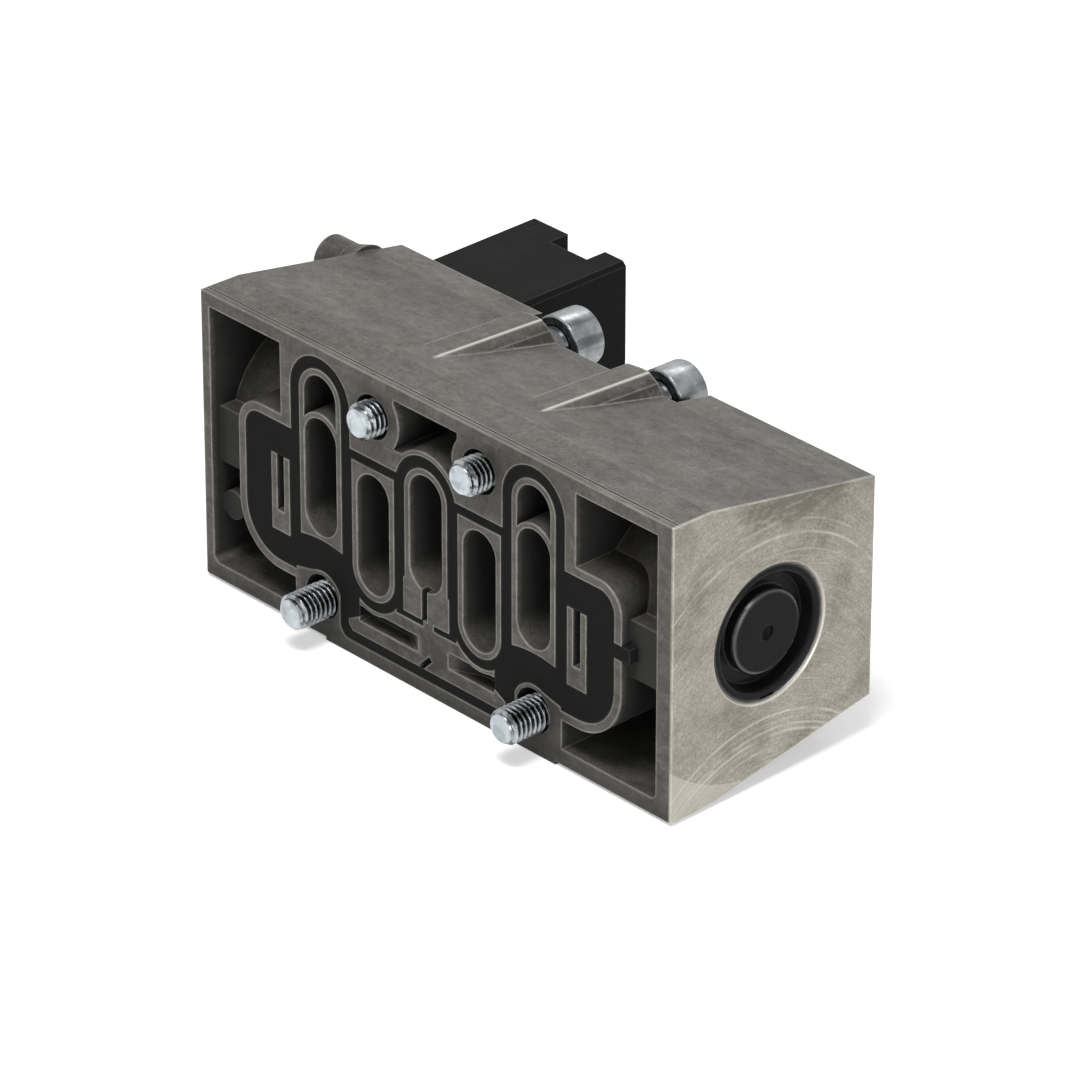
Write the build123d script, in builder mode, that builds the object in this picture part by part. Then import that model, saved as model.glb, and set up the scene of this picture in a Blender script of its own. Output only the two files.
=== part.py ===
from build123d import *
import math
import os

# An air valve for a five-port sub-base, with one pilot solenoid on its rear.
# The origin is the centre of the port face. X runs along the spool, Y into the body, Z up.

# Port face
port_pitch = 16.0
port_half_width = 4.9
rib = 1.5
gasket_band = 2.7
gasket_thickness = 2.5
gasket_gap = 0.1
port_depth = 18.0
centre_port_low, centre_port_high = -10.0, 16.7
inner_port_low, inner_port_high = -17.1, 10.5
outer_port_low, outer_port_high = -9.8, 17.3
outer_window_high = 27.1
outer_band_low = -14.0
outer_rib_foot, outer_rib_arch = 1.7, 0.7
land_low = 14.2
land_inner_x, land_outer_x, land_foot = 4.0, 25.0, -12.0
centre_land_half, centre_land_low, centre_land_high = 6.9, -16.9, -9.0
centre_channel_low = -18.3
inner_foot_radius = 8.7
channel_web_left, channel_web_right = -0.9, 2.2

# Where the gasket passes the lower screws and runs to the foot of the port face
screw_arc_radius = 5.9
screw_arc_start, screw_arc_middle = 62, 105
dip_x, dip_z = 38.3, -19.6
foot_band_x, foot_band_inner_x = 26.5, 23.8
foot_band_low, foot_band_high = -30.7, -28.2
foot_corner_radius, foot_inner_corner = 2.5, 1.2
foot_slope_low, foot_slope_high = -25.8, -24.0
foot_neck_x, foot_neck_high = 20.4, -18.0
foot_blend_x, foot_blend_z = 25.0, -13.0
foot_start_x = 44.0

# Recesses and notches at the foot of the port face
foot_recess_low, foot_recess_high, foot_recess_depth = -25.0, -21.3, 3.5
foot_recess_rib = 0.9
left_slope_start, left_slope_end = -9.0, -2.5
right_slope_start, right_slope_end = 14.0, 6.5
sprue_left, sprue_right, sprue_depth = -1.3, 0.3, 1.8
notch_x, notch_z, notch_length, notch_width, notch_turn = -0.3, -26.7, 4.4, 1.2, 45

# Pilot pads at the two ends of the port face
pad_inner_x, pad_outer_x = 40.0, 55.4
pad_low, pad_high = -20.7, 11.7
pad_low_radius, pad_high_radius = 10.6, 4.4
pad_rib = 2.1
window_inner_x, window_outer_x = 41.8, 47.4
window_low, window_high = -13.8, 4.0
slit_width, slit_depth, slit_margin = 2.1, 8.0, 4.8
tab_end_x, tab_low, tab_high = 59.8, -2.2, 1.3

# Mounting screws, M8 x 55
screw_row_height = 24.0
upper_screw_x, lower_screw_x = 16.0, 32.0
screw_radius, screw_length = 4.0, 55.0
screw_head_radius, screw_head_height = 6.5, 8.0
screw_point_radius = 3.05
screw_head_chamfer = 0.5
screw_socket, screw_socket_depth = 6.0, 4.0
screw_hole_radius, screw_hole_rear_radius = 4.9, 5.5
screw_play = 0.1
seat_margin = 1.0
upper_screw_droop = 1.55
upper_left_push, upper_right_push = 4.9, 3.8

# Casting
body_left, body_right = -69.5, 72.0
body_depth = 55.5
front_top, front_bottom = 33.5, 33.1
rear_half_height = 25.0
shoulder_depth, shoulder_drop, shoulder_radius = 10.5, 0.2, 60.0
cast_radius = 1.2
foot_left, foot_right, foot_bottom, foot_depth = -31.0, 38.5, 33.9, 7.0
flange_line_depth, flange_line_width, flange_line_cut = 1.7, 0.35, 0.3
seat_depth = 46.0
recess_half_width = 25.0
boss_start_depth = 12.0
boss_rise = 1.9
boss_root = -4.0
boss_outline = ((-12.5, 1.5), (-5.4, 6.2), (-1.0, 6.7), (0.9, 6.6), (3.5, 5.0), (4.9, 3.3), (6.2, 1.6))
wall = 3.2
left_wall, right_wall = 3.2, 4.5
pocket_rib_x, pocket_foot_x = 44.2, 40.3
pocket_top, pocket_bottom = 30.3, -29.5
pocket_depth = 44.0
pocket_top_corner, pocket_bottom_corner = 2.2, 1.5
pocket_overlap = 2.0
centre_pocket_half_width, centre_pocket_depth = 9.5, 20.0
centre_pocket_low, centre_pocket_high = 19.0, 30.6
screw_ring_radius = 8.1
port_ring = 1.1
window_pocket_depth, window_pocket_low, window_ring = 16.0, 12.0, 1.3
bridge_depth, bridge_half_height, bridge_corner = 2.5, 6.4, 1.5
stub_inset, stub_z, stub_radius, stub_depth = 6.1, -16.2, 3.3, 3.0

# Spool bore and what runs in it
bore_y = 26.7
bore_radius = 11.0
barrel_radius = 21.0
chamber_radius, chamber_width = 14.0, 8.0
land_clearance = 0.3
seal_clearance = 0.05
groove_clearance = 0.05
spool_left, spool_right = -48.0, 44.5
spool_stroke = 7.0
waist_radius = 6.5
seal_width, seal_height, seal_crown = 2.4, 1.8, 0.5
seal_centres = (-46.2, -31.0, -8.0, 1.0, 24.0, 41.0)
spool_lands = ((-48.0, -43.8), (-33.2, -28.8), (-10.2, 3.2), (21.8, 26.2), (36.5, 44.5))
piston_bore_radius = 14.0
piston_thickness = 4.5
piston_groove_front, piston_groove_back = 1.2, 0.9
piston_bore_margin = 0.6
piston_stem_radius = 5.0
spring_pocket_radius, spring_pocket_depth = 7.9, 6.0
return_spring_radius, return_wire_radius, return_spring_turns = 6.9, 0.65, 6
spring_steps, spring_sides = 16, 8

# Plugs in both ends of the bore
plug_bore_radius = 14.8
plug_clearance = 0.1
plug_length = 8.5
plug_recess = 0.6
plug_rim_inner_radius = 12.9
plug_disc_radius, plug_disc_edge = 9.3, 0.9
plug_groove_depth = 3.0
plug_rim_slope, plug_rim_round, plug_rim_drop = 0.8, 0.3, 0.4
plug_disc_round = 0.3
dimple_radius, dimple_depth, dimple_wall = 1.7, 1.2, 0.7
mouth_chamfer = 0.6
ring_width, ring_bite, ring_band, ring_gap_deg = 1.1, 0.7, 1.2, 14.0
plug_seal_width, plug_seal_height, plug_seal_back = 2.0, 1.6, 1.5

# Port boss on the left end
end_boss_y, end_boss_z = 45.1, 21.9
end_boss_radius, end_boss_length = 4.9, 10.0
end_boss_flare, end_boss_flare_length = 1.4, 3.5
end_boss_root = 1.0
end_port_radius, end_port_depth = 2.1, 9.0

# Pilot solenoid
pilot_inset, pilot_width, pilot_length = 2.3, 29.5, 36.0
pilot_half_height = 20.0
pilot_gasket_thickness, pilot_gasket_margin = 1.0, 0.8
pilot_base_thickness = 5.0
pilot_notch_inset, pilot_notch_width, pilot_notch_depth = 11.5, 11.5, 5.3
pilot_chamfer = 1.0
neck_radius, neck_length = 8.5, 5.5
seat_chamber_radius, seat_chamber_depth = 4.6, 1.8
tube_socket_radius = 5.5
socket_bite = 0.3
seat_radius, seat_hole_radius, seat_lip_radius, seat_lip = 2.5, 0.6, 1.3, 1.2
seat_proud = 0.2
tube_radius, tube_wall = 4.5, 0.6
tube_seal_height = 1.2
core_length = 14.0
core_proud = 0.8
plunger_clearance = 0.3
plunger_stroke = 0.8
plunger_pad_radius, plunger_pad_height, plunger_pad_proud = 1.9, 1.4, 0.6
spring_hole_radius, spring_hole_depth = 2.2, 6.0
plunger_spring_radius, plunger_wire_radius, plunger_spring_turns = 1.6, 0.25, 5
fit_gap = 0.1
air_hole_radius, air_hole_pitch = 0.8, 3.7
coil_radius = 9.8
bobbin_flange, bobbin_wall, bobbin_flange_radius = 1.1, 0.8, 10.4
yoke_half_width, yoke_length, yoke_plate = 10.0, 17.8, 1.5
nut_width, nut_height = 9.5, 4.0
pilot_screw_radius, pilot_screw_head_radius, pilot_screw_head_height = 2.0, 3.5, 4.0
pilot_screw_bite, pilot_tapping_run, pilot_screw_sink = 7.5, 1.5, 0.4
pilot_screw_left_inset, pilot_screw_right_inset, pilot_screw_edge = 3.8, 4.7, 3.8
pilot_screw_socket, pilot_screw_socket_depth = 3.0, 2.0
override_radius, override_proud, override_length, override_depth = 1.7, 1.4, 5.0, 9.0
override_groove, override_groove_depth, override_groove_start = 1.0, 0.6, 2.2
override_slot_width, override_slot_depth = 0.6, 0.6
override_pocket_radius, override_pocket_depth = 1.3, 1.5
override_spring_radius, override_wire_radius, override_spring_turns = 0.95, 0.2, 4
blade_width, blade_thickness, blade_length, blade_root = 6.3, 0.8, 8.0, 2.5
blade_pitch = 18.0
connector_hole_radius, connector_hole_depth = 1.25, 3.0
blade_row = 20.5
yoke_play = 0.6
yoke_screw_gap = 0.7
head_play = 0.2

# Worked out from the sizes above
rib_half = port_half_width + rib
band_half = rib_half + gasket_band
outer_x = 2 * port_pitch
inner_port_foot = inner_port_low + port_half_width
pilot_left = body_left + pilot_inset
pilot_right = pilot_left + pilot_width
notch_left = pilot_left + pilot_notch_inset
notch_right = notch_left + pilot_notch_width
pilot_far = body_depth + pilot_length
blade_y = body_depth + blade_row
pilot_screw_z = pilot_half_height - pilot_screw_edge
pilot_screw_places = (
    (pilot_left + pilot_screw_left_inset, pilot_screw_z),
    (pilot_right - pilot_screw_right_inset, -pilot_screw_z),
)
yoke_half_height = pilot_screw_z - pilot_screw_radius - yoke_screw_gap
pilot_x = (notch_left + notch_right) / 2
pilot_base_y = body_depth + pilot_gasket_thickness
pilot_joint_y = pilot_base_y + pilot_base_thickness
notch_floor = pilot_far - pilot_notch_depth
plug_face_right = body_right - plug_recess
plug_face_left = body_left + plug_recess
plug_back_right = plug_face_right - plug_length
plug_back_left = plug_face_left + plug_length
bore_axis = Axis((0, bore_y, 0), (1, 0, 0))
tube_axis = Axis((pilot_x, 0, 0), (0, 1, 0))


# Shapes used more than once

def tall_slot(x, low, high, half_width, mode=Mode.ADD, round_low=True):
    """A tall slot with a round top in the active sketch"""
    start = low + half_width if round_low else low
    end = high - half_width
    with Locations((x, (start + end) / 2)):
        Rectangle(2 * half_width, end - start, mode=mode)
    with Locations((x, end)):
        Circle(half_width, mode=mode)
    if round_low:
        with Locations((x, start)):
            Circle(half_width, mode=mode)


def span(x0, x1, z0, z1, mode=Mode.ADD):
    """A rectangle between two corners in the active sketch"""
    with Locations(((x0 + x1) / 2, (z0 + z1) / 2)):
        Rectangle(abs(x1 - x0), abs(z1 - z0), mode=mode)


def pad_block(side, inner, outer, low, high, low_radius, high_radius, mode=Mode.ADD):
    """The outline of a pilot pad, round at its two outer corners"""
    diagonal = math.sqrt(0.5)
    high_centre = (side * (outer - high_radius), high - high_radius)
    low_centre = (side * (outer - low_radius), low + low_radius)
    with BuildLine() as outline:
        Line((side * inner, high), (high_centre[0], high))
        ThreePointArc(
            (high_centre[0], high),
            (high_centre[0] + side * high_radius * diagonal, high_centre[1] + high_radius * diagonal),
            (side * outer, high_centre[1]),
        )
        Line((side * outer, high_centre[1]), (side * outer, low_centre[1]))
        ThreePointArc(
            (side * outer, low_centre[1]),
            (low_centre[0] + side * low_radius * diagonal, low_centre[1] - low_radius * diagonal),
            (low_centre[0], low),
        )
        Line((low_centre[0], low), (side * inner, low))
        Line((side * inner, low), (side * inner, high))
    make_face(outline.edges(), mode=mode)


def foot_band(side, gap):
    """The gasket from the pad, over the lower screw and along the foot"""
    reach = screw_arc_radius + gap

    def on_arc(angle):
        """A point on the arc round the screw, from its outer side"""
        turn = math.radians(angle)
        return (side * (lower_screw_x + reach * math.cos(turn)), -screw_row_height + reach * math.sin(turn))

    outer = foot_band_x - gap
    low = foot_band_low + gap
    high = foot_band_high - gap
    inner = foot_band_inner_x + gap
    neck = foot_neck_x + gap
    leave = 180 - math.degrees(math.acos((lower_screw_x - outer) / reach))
    corner = foot_corner_radius
    diagonal = math.sqrt(0.5)
    with BuildLine() as outline:
        Line((side * foot_start_x, foot_blend_z), (side * foot_start_x, pad_low + gap))
        Line((side * foot_start_x, pad_low + gap), (side * dip_x, dip_z + gap))
        Line((side * dip_x, dip_z + gap), on_arc(screw_arc_start))
        ThreePointArc(on_arc(screw_arc_start), on_arc(screw_arc_middle), on_arc(leave))
        Line(on_arc(leave), (side * outer, low + corner))
        ThreePointArc(
            (side * outer, low + corner),
            (side * (outer - corner + corner * diagonal), low + corner - corner * diagonal),
            (side * (outer - corner), low),
        )
        Polyline(
            (side * (outer - corner), low),
            (0, low),
            (0, high),
            (side * (inner - foot_inner_corner), high),
            (side * inner, high + foot_inner_corner),
            (side * inner, foot_slope_low),
            (side * neck, foot_slope_high),
            (side * neck, foot_neck_high),
            (side * foot_blend_x, foot_blend_z),
            (side * foot_start_x, foot_blend_z),
        )
    make_face(outline.edges())


def outer_island(side, gap, mode):
    """The rib round an outer port and its window, with a hollowed foot"""
    x = side * outer_x
    half = rib_half + gap
    top = outer_window_high + rib + gap
    foot = outer_port_low - outer_rib_foot - gap
    with BuildLine() as outline:
        Line((x - half, foot), (x - half, top - half))
        ThreePointArc((x - half, top - half), (x, top), (x + half, top - half))
        Line((x + half, top - half), (x + half, foot))
        ThreePointArc((x + half, foot), (x, foot + outer_rib_arch), (x - half, foot))
    make_face(outline.edges(), mode=mode)


def gasket_field(gap=0.0):
    """The gasket's outline in the active sketch. A gap shrinks it on every side"""
    top = outer_window_high + rib + gasket_band
    pad_end = pad_outer_x - gap
    for side in (-1, 1):
        tall_slot(side * outer_x, outer_band_low, top - gap, band_half - gap, round_low=False)
        low, high = pad_low + gap, pad_high - gap
        pad_block(side, pad_inner_x, pad_end, low, high, pad_low_radius, pad_high_radius)
        span(side * land_inner_x, side * land_outer_x, land_foot, land_low - gap)
        with Locations((side * port_pitch, inner_port_foot)):
            Circle(inner_foot_radius - gap)
        foot_band(side, gap)
    channel_high = centre_port_high + rib + gasket_band - gap
    tall_slot(0, centre_channel_low + gap, channel_high, band_half - gap, round_low=False)
    span(window_outer_x + pad_rib, tab_end_x - gap, tab_low + gap, tab_high - gap)
    for side in (-1, 1):
        outer_island(side, gap, Mode.SUBTRACT)
        x = side * port_pitch
        half = rib_half + gap
        span(x - half, x + half, inner_port_foot, inner_port_high + rib + gap, Mode.SUBTRACT)
        with Locations((x, inner_port_foot)):
            Circle(half, mode=Mode.SUBTRACT)
        span(
            side * (window_inner_x - gap),
            side * (window_outer_x + gap),
            window_low - gap,
            window_high + gap,
            Mode.SUBTRACT,
        )
    tall_slot(0, land_foot, centre_port_high + rib + gap, rib_half + gap, Mode.SUBTRACT, round_low=False)
    land = centre_land_half + gap
    span(-land, land, centre_land_low - gap, centre_land_high, Mode.SUBTRACT)
    span(
        channel_web_left - gap,
        channel_web_right + gap,
        centre_channel_low - gap,
        centre_land_low,
        Mode.SUBTRACT,
    )


def side_profile(inset=0.0):
    """The casting's outline seen from its end, in the active sketch. An inset leaves the wall"""
    top, bottom, rear = front_top - inset, front_bottom - inset, rear_half_height - inset
    with BuildLine() as outline:
        Polyline(
            (0, top),
            (shoulder_depth, top - shoulder_drop),
            (body_depth, rear),
            (body_depth, -rear),
            (shoulder_depth, shoulder_drop - bottom),
            (0, -bottom),
            close=True,
        )
    make_face(outline.edges())


def screw_boss(x, side):
    """The sloping boss over a mounting screw, joined to the part in hand. Side is 1 above, -1 below"""
    sections = []
    for depth, rise in ((seat_depth, 0.0), (boss_start_depth, boss_rise)):
        root = side * (screw_row_height + boss_root)
        ridge = [(x + across, side * (screw_row_height + up + rise)) for across, up in boss_outline]
        with BuildSketch(Plane.XZ.offset(-depth)) as section:
            with BuildLine():
                Polyline(*ridge, (ridge[-1][0], root), (ridge[0][0], root), close=True)
            make_face()
        sections.append(section.sketch.faces()[0])
    loft(sections)


def bored(start, end, radius, mode=Mode.SUBTRACT):
    """A round length along the spool's axis"""
    with BuildSketch(Plane.YZ.offset(start)) as section:
        with Locations((bore_y, 0)):
            Circle(radius)
    extrude(section.sketch, amount=end - start, mode=mode)


def turned(points):
    """A piece turned about the spool's axis, from (x, radius) points"""
    with BuildSketch(Plane.XY) as section:
        with BuildLine():
            Polyline(*[(x, bore_y + radius) for x, radius in points], close=True)
        make_face()
    revolve(section.sketch, axis=bore_axis)


def turned_pilot(points):
    """A piece turned about the pilot's axis, from (radius, y) points"""
    with BuildSketch(Plane.XY) as section:
        with BuildLine():
            Polyline(*[(pilot_x + radius, y) for radius, y in points], close=True)
        make_face()
    revolve(section.sketch, axis=tube_axis)


# Cores that hollow the casting from its front

with BuildPart() as cores:
    for side, outer in ((-1, body_left + left_wall), (1, body_right - right_wall)):
        with BuildSketch(Plane.XZ) as end_pocket:
            span(side * pocket_foot_x, outer, pocket_bottom, pocket_top)
            outer_corners = end_pocket.vertices().group_by(Axis.X)[-1 if side > 0 else 0].sort_by(Axis.Y)
            fillet(outer_corners[0], pocket_bottom_corner)
            fillet(outer_corners[-1], pocket_top_corner)
            pad_block(
                side,
                pocket_foot_x - pocket_overlap,
                pad_outer_x + pad_rib,
                pad_low - pad_rib,
                pad_high + pad_rib,
                pad_low_radius + pad_rib,
                pad_high_radius + pad_rib,
                mode=Mode.SUBTRACT,
            )
            span(
                side * (pocket_foot_x - pocket_overlap),
                side * pocket_rib_x,
                pad_high,
                pocket_top + pocket_overlap,
                Mode.SUBTRACT,
            )
        extrude(amount=-pocket_depth)
    with BuildSketch(Plane.XZ):
        span(-centre_pocket_half_width, centre_pocket_half_width, centre_pocket_low, centre_pocket_high)
        with Locations((-upper_screw_x, screw_row_height), (upper_screw_x, screw_row_height)):
            Circle(screw_ring_radius, mode=Mode.SUBTRACT)
        with Locations((0, centre_port_high - port_half_width)):
            Circle(band_half + port_ring, mode=Mode.SUBTRACT)
    extrude(amount=-centre_pocket_depth)
    with BuildSketch(Plane.XZ):
        for side in (-1, 1):
            x = side * outer_x
            tall_slot(x, window_pocket_low, outer_window_high, port_half_width, round_low=False)
            with Locations((x, outer_port_high - port_half_width)):
                Circle(port_half_width + window_ring, mode=Mode.SUBTRACT)
    extrude(amount=-window_pocket_depth)
    bored(body_left, body_right, barrel_radius)
    with BuildSketch(Plane.YZ.offset(body_left)) as webs:
        with Locations(((bore_y + body_depth) / 2, 0)):
            Rectangle(body_depth - bore_y, 2 * barrel_radius)
        with Locations(((bridge_depth + bore_y) / 2, 0)):
            Rectangle(bore_y - bridge_depth, 2 * bridge_half_height)
        fillet(webs.vertices().group_by(Axis.Y)[0], bridge_corner)
    extrude(amount=body_right - body_left, mode=Mode.SUBTRACT)
    with BuildSketch(Plane.XZ.offset(-stub_depth)):
        with Locations((body_left + stub_inset, stub_z)):
            Circle(stub_radius)
    extrude(amount=-pocket_depth, mode=Mode.SUBTRACT)
    with BuildSketch(Plane.YZ.offset(body_left)):
        side_profile(wall)
    extrude(amount=body_right - body_left, mode=Mode.INTERSECT)

# Shallow recesses at the foot of the port face, their floors sloping up to the middle

with BuildPart() as foot_recesses:
    with BuildSketch(Plane.XY.offset(foot_recess_low)):
        for end, start, edge in (
            (left_slope_end, left_slope_start, -foot_neck_x),
            (right_slope_end, right_slope_start, foot_neck_x),
        ):
            with BuildLine() as floor:
                deep = foot_recess_depth
                Polyline((edge, 0), (edge, deep), (start, deep), (end, 0), close=True)
            make_face(floor.edges())
    extrude(amount=foot_recess_high - foot_recess_low)
    with BuildSketch(Plane.XZ):
        with Locations((-port_pitch, inner_port_foot), (port_pitch, inner_port_foot)):
            Circle(inner_foot_radius + foot_recess_rib)
    extrude(amount=-2 * foot_recess_depth, mode=Mode.SUBTRACT)


# Valve body, one die casting

with BuildPart() as valve_body:
    with BuildSketch(Plane.YZ.offset(body_left)) as side_outline:
        side_profile()
        shoulders = side_outline.vertices().group_by(Axis.Y)[1]
        fillet(shoulders, shoulder_radius)
    extrude(amount=body_right - body_left)
    fillet(valve_body.faces().sort_by(Axis.X)[0].edges(), cast_radius)
    for x in (-upper_screw_x, upper_screw_x):
        screw_boss(x, 1)
    for x in (-lower_screw_x, lower_screw_x):
        screw_boss(x, -1)
    # foot under the port face
    with BuildSketch(Plane.XZ):
        span(foot_left, foot_right, -foot_bottom, pocket_bottom)
    extrude(amount=-foot_depth)
    # port boss on the left end, flared where it leaves the wall
    with BuildSketch(Plane.YZ.offset(body_left - end_boss_length)):
        with Locations((end_boss_y, end_boss_z)):
            Circle(end_boss_radius)
    extrude(amount=end_boss_length + end_boss_root)
    with BuildSketch(Plane.YZ.offset(body_left - end_boss_flare_length)):
        with Locations((end_boss_y, end_boss_z)):
            Circle(end_boss_radius)
    with BuildSketch(Plane.YZ.offset(body_left + end_boss_root)):
        with Locations((end_boss_y, end_boss_z)):
            Circle(end_boss_radius + end_boss_flare)
    loft()
    # recess behind the upper screws and notches behind the lower ones
    with BuildSketch(Plane.XZ.offset(-seat_depth)):
        Rectangle(2 * recess_half_width, 3 * front_top)
        for side in (-1, 1):
            tall_slot(
                side * lower_screw_x,
                -2 * front_top,
                screw_head_radius + seat_margin - screw_row_height,
                screw_head_radius + seat_margin,
            )
    extrude(amount=-(body_depth - seat_depth), mode=Mode.SUBTRACT)
    add(cores.part, mode=Mode.SUBTRACT)
    add(foot_recesses.part, mode=Mode.SUBTRACT)
    # sprue mark under the centre port and notch in the bar at the foot
    with BuildSketch(Plane.XZ):
        span(sprue_left, sprue_right, centre_land_low, centre_port_low + port_half_width)
        with Locations((notch_x, notch_z)):
            Rectangle(notch_length, notch_width, rotation=notch_turn)
    extrude(amount=-sprue_depth, mode=Mode.SUBTRACT)
    # groove for the gasket
    with BuildSketch(Plane.XZ):
        gasket_field()
    extrude(amount=-gasket_thickness, mode=Mode.SUBTRACT)
    # five ports and the slits in the pilot pads
    with BuildSketch(Plane.XZ):
        tall_slot(0, centre_port_low, centre_port_high, port_half_width)
        for side in (-1, 1):
            tall_slot(side * port_pitch, inner_port_low, inner_port_high, port_half_width)
            tall_slot(side * outer_x, outer_port_low, outer_port_high, port_half_width)
    extrude(amount=-port_depth, mode=Mode.SUBTRACT)
    with BuildSketch(Plane.XZ):
        for side in (-1, 1):
            middle = side * (window_inner_x + window_outer_x) / 2
            span(middle - slit_width / 2, middle + slit_width / 2, window_low + slit_margin, window_high)
    extrude(amount=-slit_depth, mode=Mode.SUBTRACT)
    # spool bore, its ring chambers, the piston bore and the plug bores
    bored(plug_back_left, plug_back_right, bore_radius)
    for index in range(-2, 3):
        middle = index * port_pitch
        bored(middle - chamber_width / 2, middle + chamber_width / 2, chamber_radius)
    piston_bore_end = plug_back_left + piston_thickness + spool_stroke + piston_bore_margin
    bored(plug_back_left, piston_bore_end, piston_bore_radius)
    bored(body_left, plug_back_left, plug_bore_radius)
    bored(plug_back_right, body_right, plug_bore_radius)
    for face, inward in ((plug_face_left, 1), (plug_face_right, -1)):
        bored(face, face + inward * ring_width, plug_bore_radius + ring_bite)
    for face, inward in ((body_left, 1), (body_right, -1)):
        with BuildSketch(Plane.YZ.offset(face)):
            with Locations((bore_y, 0)):
                Circle(plug_bore_radius + mouth_chamfer)
        with BuildSketch(Plane.YZ.offset(face + inward * mouth_chamfer)):
            with Locations((bore_y, 0)):
                Circle(plug_bore_radius)
        loft(mode=Mode.SUBTRACT)
    # holes for the mounting screws, drafted from front to rear
    for x, z in (
        (-upper_screw_x, screw_row_height),
        (upper_screw_x, screw_row_height),
        (-lower_screw_x, -screw_row_height),
        (lower_screw_x, -screw_row_height),
    ):
        with BuildSketch(Plane.XZ):
            with Locations((x, z)):
                Circle(screw_hole_radius)
        with BuildSketch(Plane.XZ.offset(-seat_depth)):
            with Locations((x, z)):
                Circle(screw_hole_rear_radius)
        loft(mode=Mode.SUBTRACT)
    # port in the end boss
    with BuildSketch(Plane.YZ.offset(body_left - end_boss_length)):
        with Locations((end_boss_y, end_boss_z)):
            Circle(end_port_radius)
    extrude(amount=end_port_depth, mode=Mode.SUBTRACT)
    # tapped holes and air holes under the pilot
    with BuildSketch(Plane.XZ.offset(-body_depth)):
        with Locations(*pilot_screw_places):
            Circle(pilot_screw_radius + fit_gap)
        with Locations((pilot_x, 0), (pilot_x, air_hole_pitch)):
            Circle(air_hole_radius)
    extrude(amount=pilot_screw_bite + pilot_tapping_run, mode=Mode.SUBTRACT)
    # fine line where the flange meets the sloping top
    with BuildSketch(Plane.YZ.offset(body_left)):
        with Locations((flange_line_depth, front_top)):
            Rectangle(flange_line_width, 2 * flange_line_cut)
    extrude(amount=body_right - body_left, mode=Mode.SUBTRACT)


# Gasket in the groove of the port face

with BuildPart() as interface_gasket:
    with BuildSketch(Plane.XZ.offset(-gasket_gap)):
        gasket_field(gasket_gap)
    extrude(amount=gasket_gap - gasket_thickness)


# Mounting screws

def mounting_screw(bearing_y, x, z, droop):
    """An M8 socket screw whose head bears at bearing_y, its point towards the port face"""
    lean = math.radians(droop)
    along = (0, math.cos(lean), -math.sin(lean))
    middle = Plane(origin=(x, 0, z), x_dir=(1, 0, 0), z_dir=along)
    tip = bearing_y - screw_length
    with BuildPart() as screw:
        with BuildSketch(middle.offset(tip)):
            Circle(screw_radius)
        extrude(amount=screw_length)
        chamfer(screw.faces().sort_by(Axis.Y)[0].edges(), screw_radius - screw_point_radius)
        with BuildSketch(middle.offset(bearing_y)):
            Circle(screw_head_radius)
        extrude(amount=screw_head_height)
        head_end = screw.faces().sort_by(Axis.Y)[-1]
        chamfer(head_end.edges(), screw_head_chamfer)
        with BuildSketch(middle.offset(bearing_y + screw_head_height)):
            RegularPolygon(screw_socket / 2, 6, major_radius=False)
        extrude(amount=-screw_socket_depth, mode=Mode.SUBTRACT)
    return screw.part


lower_screw_z = -screw_row_height - (screw_hole_radius - screw_radius - screw_play)
upper_screw_z = screw_row_height - screw_play
upper_left_screw, upper_right_screw = [
    mounting_screw(seat_depth + push, x, upper_screw_z, upper_screw_droop)
    for x, push in ((-upper_screw_x, upper_left_push), (upper_screw_x, upper_right_push))
]
lower_left_screw, lower_right_screw = [
    mounting_screw(seat_depth, x, lower_screw_z, 0) for x in (-lower_screw_x, lower_screw_x)
]


# Spool, its seals, the pilot piston and the return spring

seal_floor = bore_radius - land_clearance - seal_height
with BuildPart() as spool:
    bored(spool_left, spool_right, waist_radius, Mode.ADD)
    for start, end in spool_lands:
        bored(start, end, bore_radius - land_clearance, Mode.ADD)
    for centre in seal_centres:
        with BuildSketch(Plane.YZ.offset(centre - seal_width / 2)):
            with Locations((bore_y, 0)):
                Circle(bore_radius)
                Circle(seal_floor, mode=Mode.SUBTRACT)
        extrude(amount=seal_width, mode=Mode.SUBTRACT)
    bored(spool_right - spring_pocket_depth, spool_right, spring_pocket_radius)

with BuildPart() as spool_seals:
    for centre in seal_centres:
        low = centre - seal_width / 2 + groove_clearance
        high = centre + seal_width / 2 - groove_clearance
        top = bore_radius - seal_clearance
        turned(
            (
                (low, seal_floor + groove_clearance),
                (high, seal_floor + groove_clearance),
                (high, top - seal_crown),
                (centre, top),
                (low, top - seal_crown),
            )
        )

piston_left = plug_back_left
piston_right = piston_left + piston_thickness
piston_groove = (piston_left + piston_groove_front, piston_right - piston_groove_back)
piston_seal_floor = piston_bore_radius - land_clearance - seal_height
with BuildPart() as pilot_piston:
    turned(
        (
            (piston_left, 0),
            (piston_left, piston_bore_radius - land_clearance),
            (piston_groove[0], piston_bore_radius - land_clearance),
            (piston_groove[0], piston_seal_floor),
            (piston_groove[1], piston_seal_floor),
            (piston_groove[1], piston_bore_radius - land_clearance),
            (piston_right, piston_bore_radius - land_clearance),
            (piston_right, piston_stem_radius),
            (spool_left, piston_stem_radius),
            (spool_left, 0),
        )
    )

with BuildPart() as piston_seal:
    turned(
        (
            (piston_groove[0] + groove_clearance, piston_seal_floor + groove_clearance),
            (piston_groove[1] - groove_clearance, piston_seal_floor + groove_clearance),
            (piston_groove[1] - groove_clearance, piston_bore_radius - seal_crown),
            (sum(piston_groove) / 2, piston_bore_radius - seal_clearance),
            (piston_groove[0] + groove_clearance, piston_bore_radius - seal_crown),
        )
    )


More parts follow.
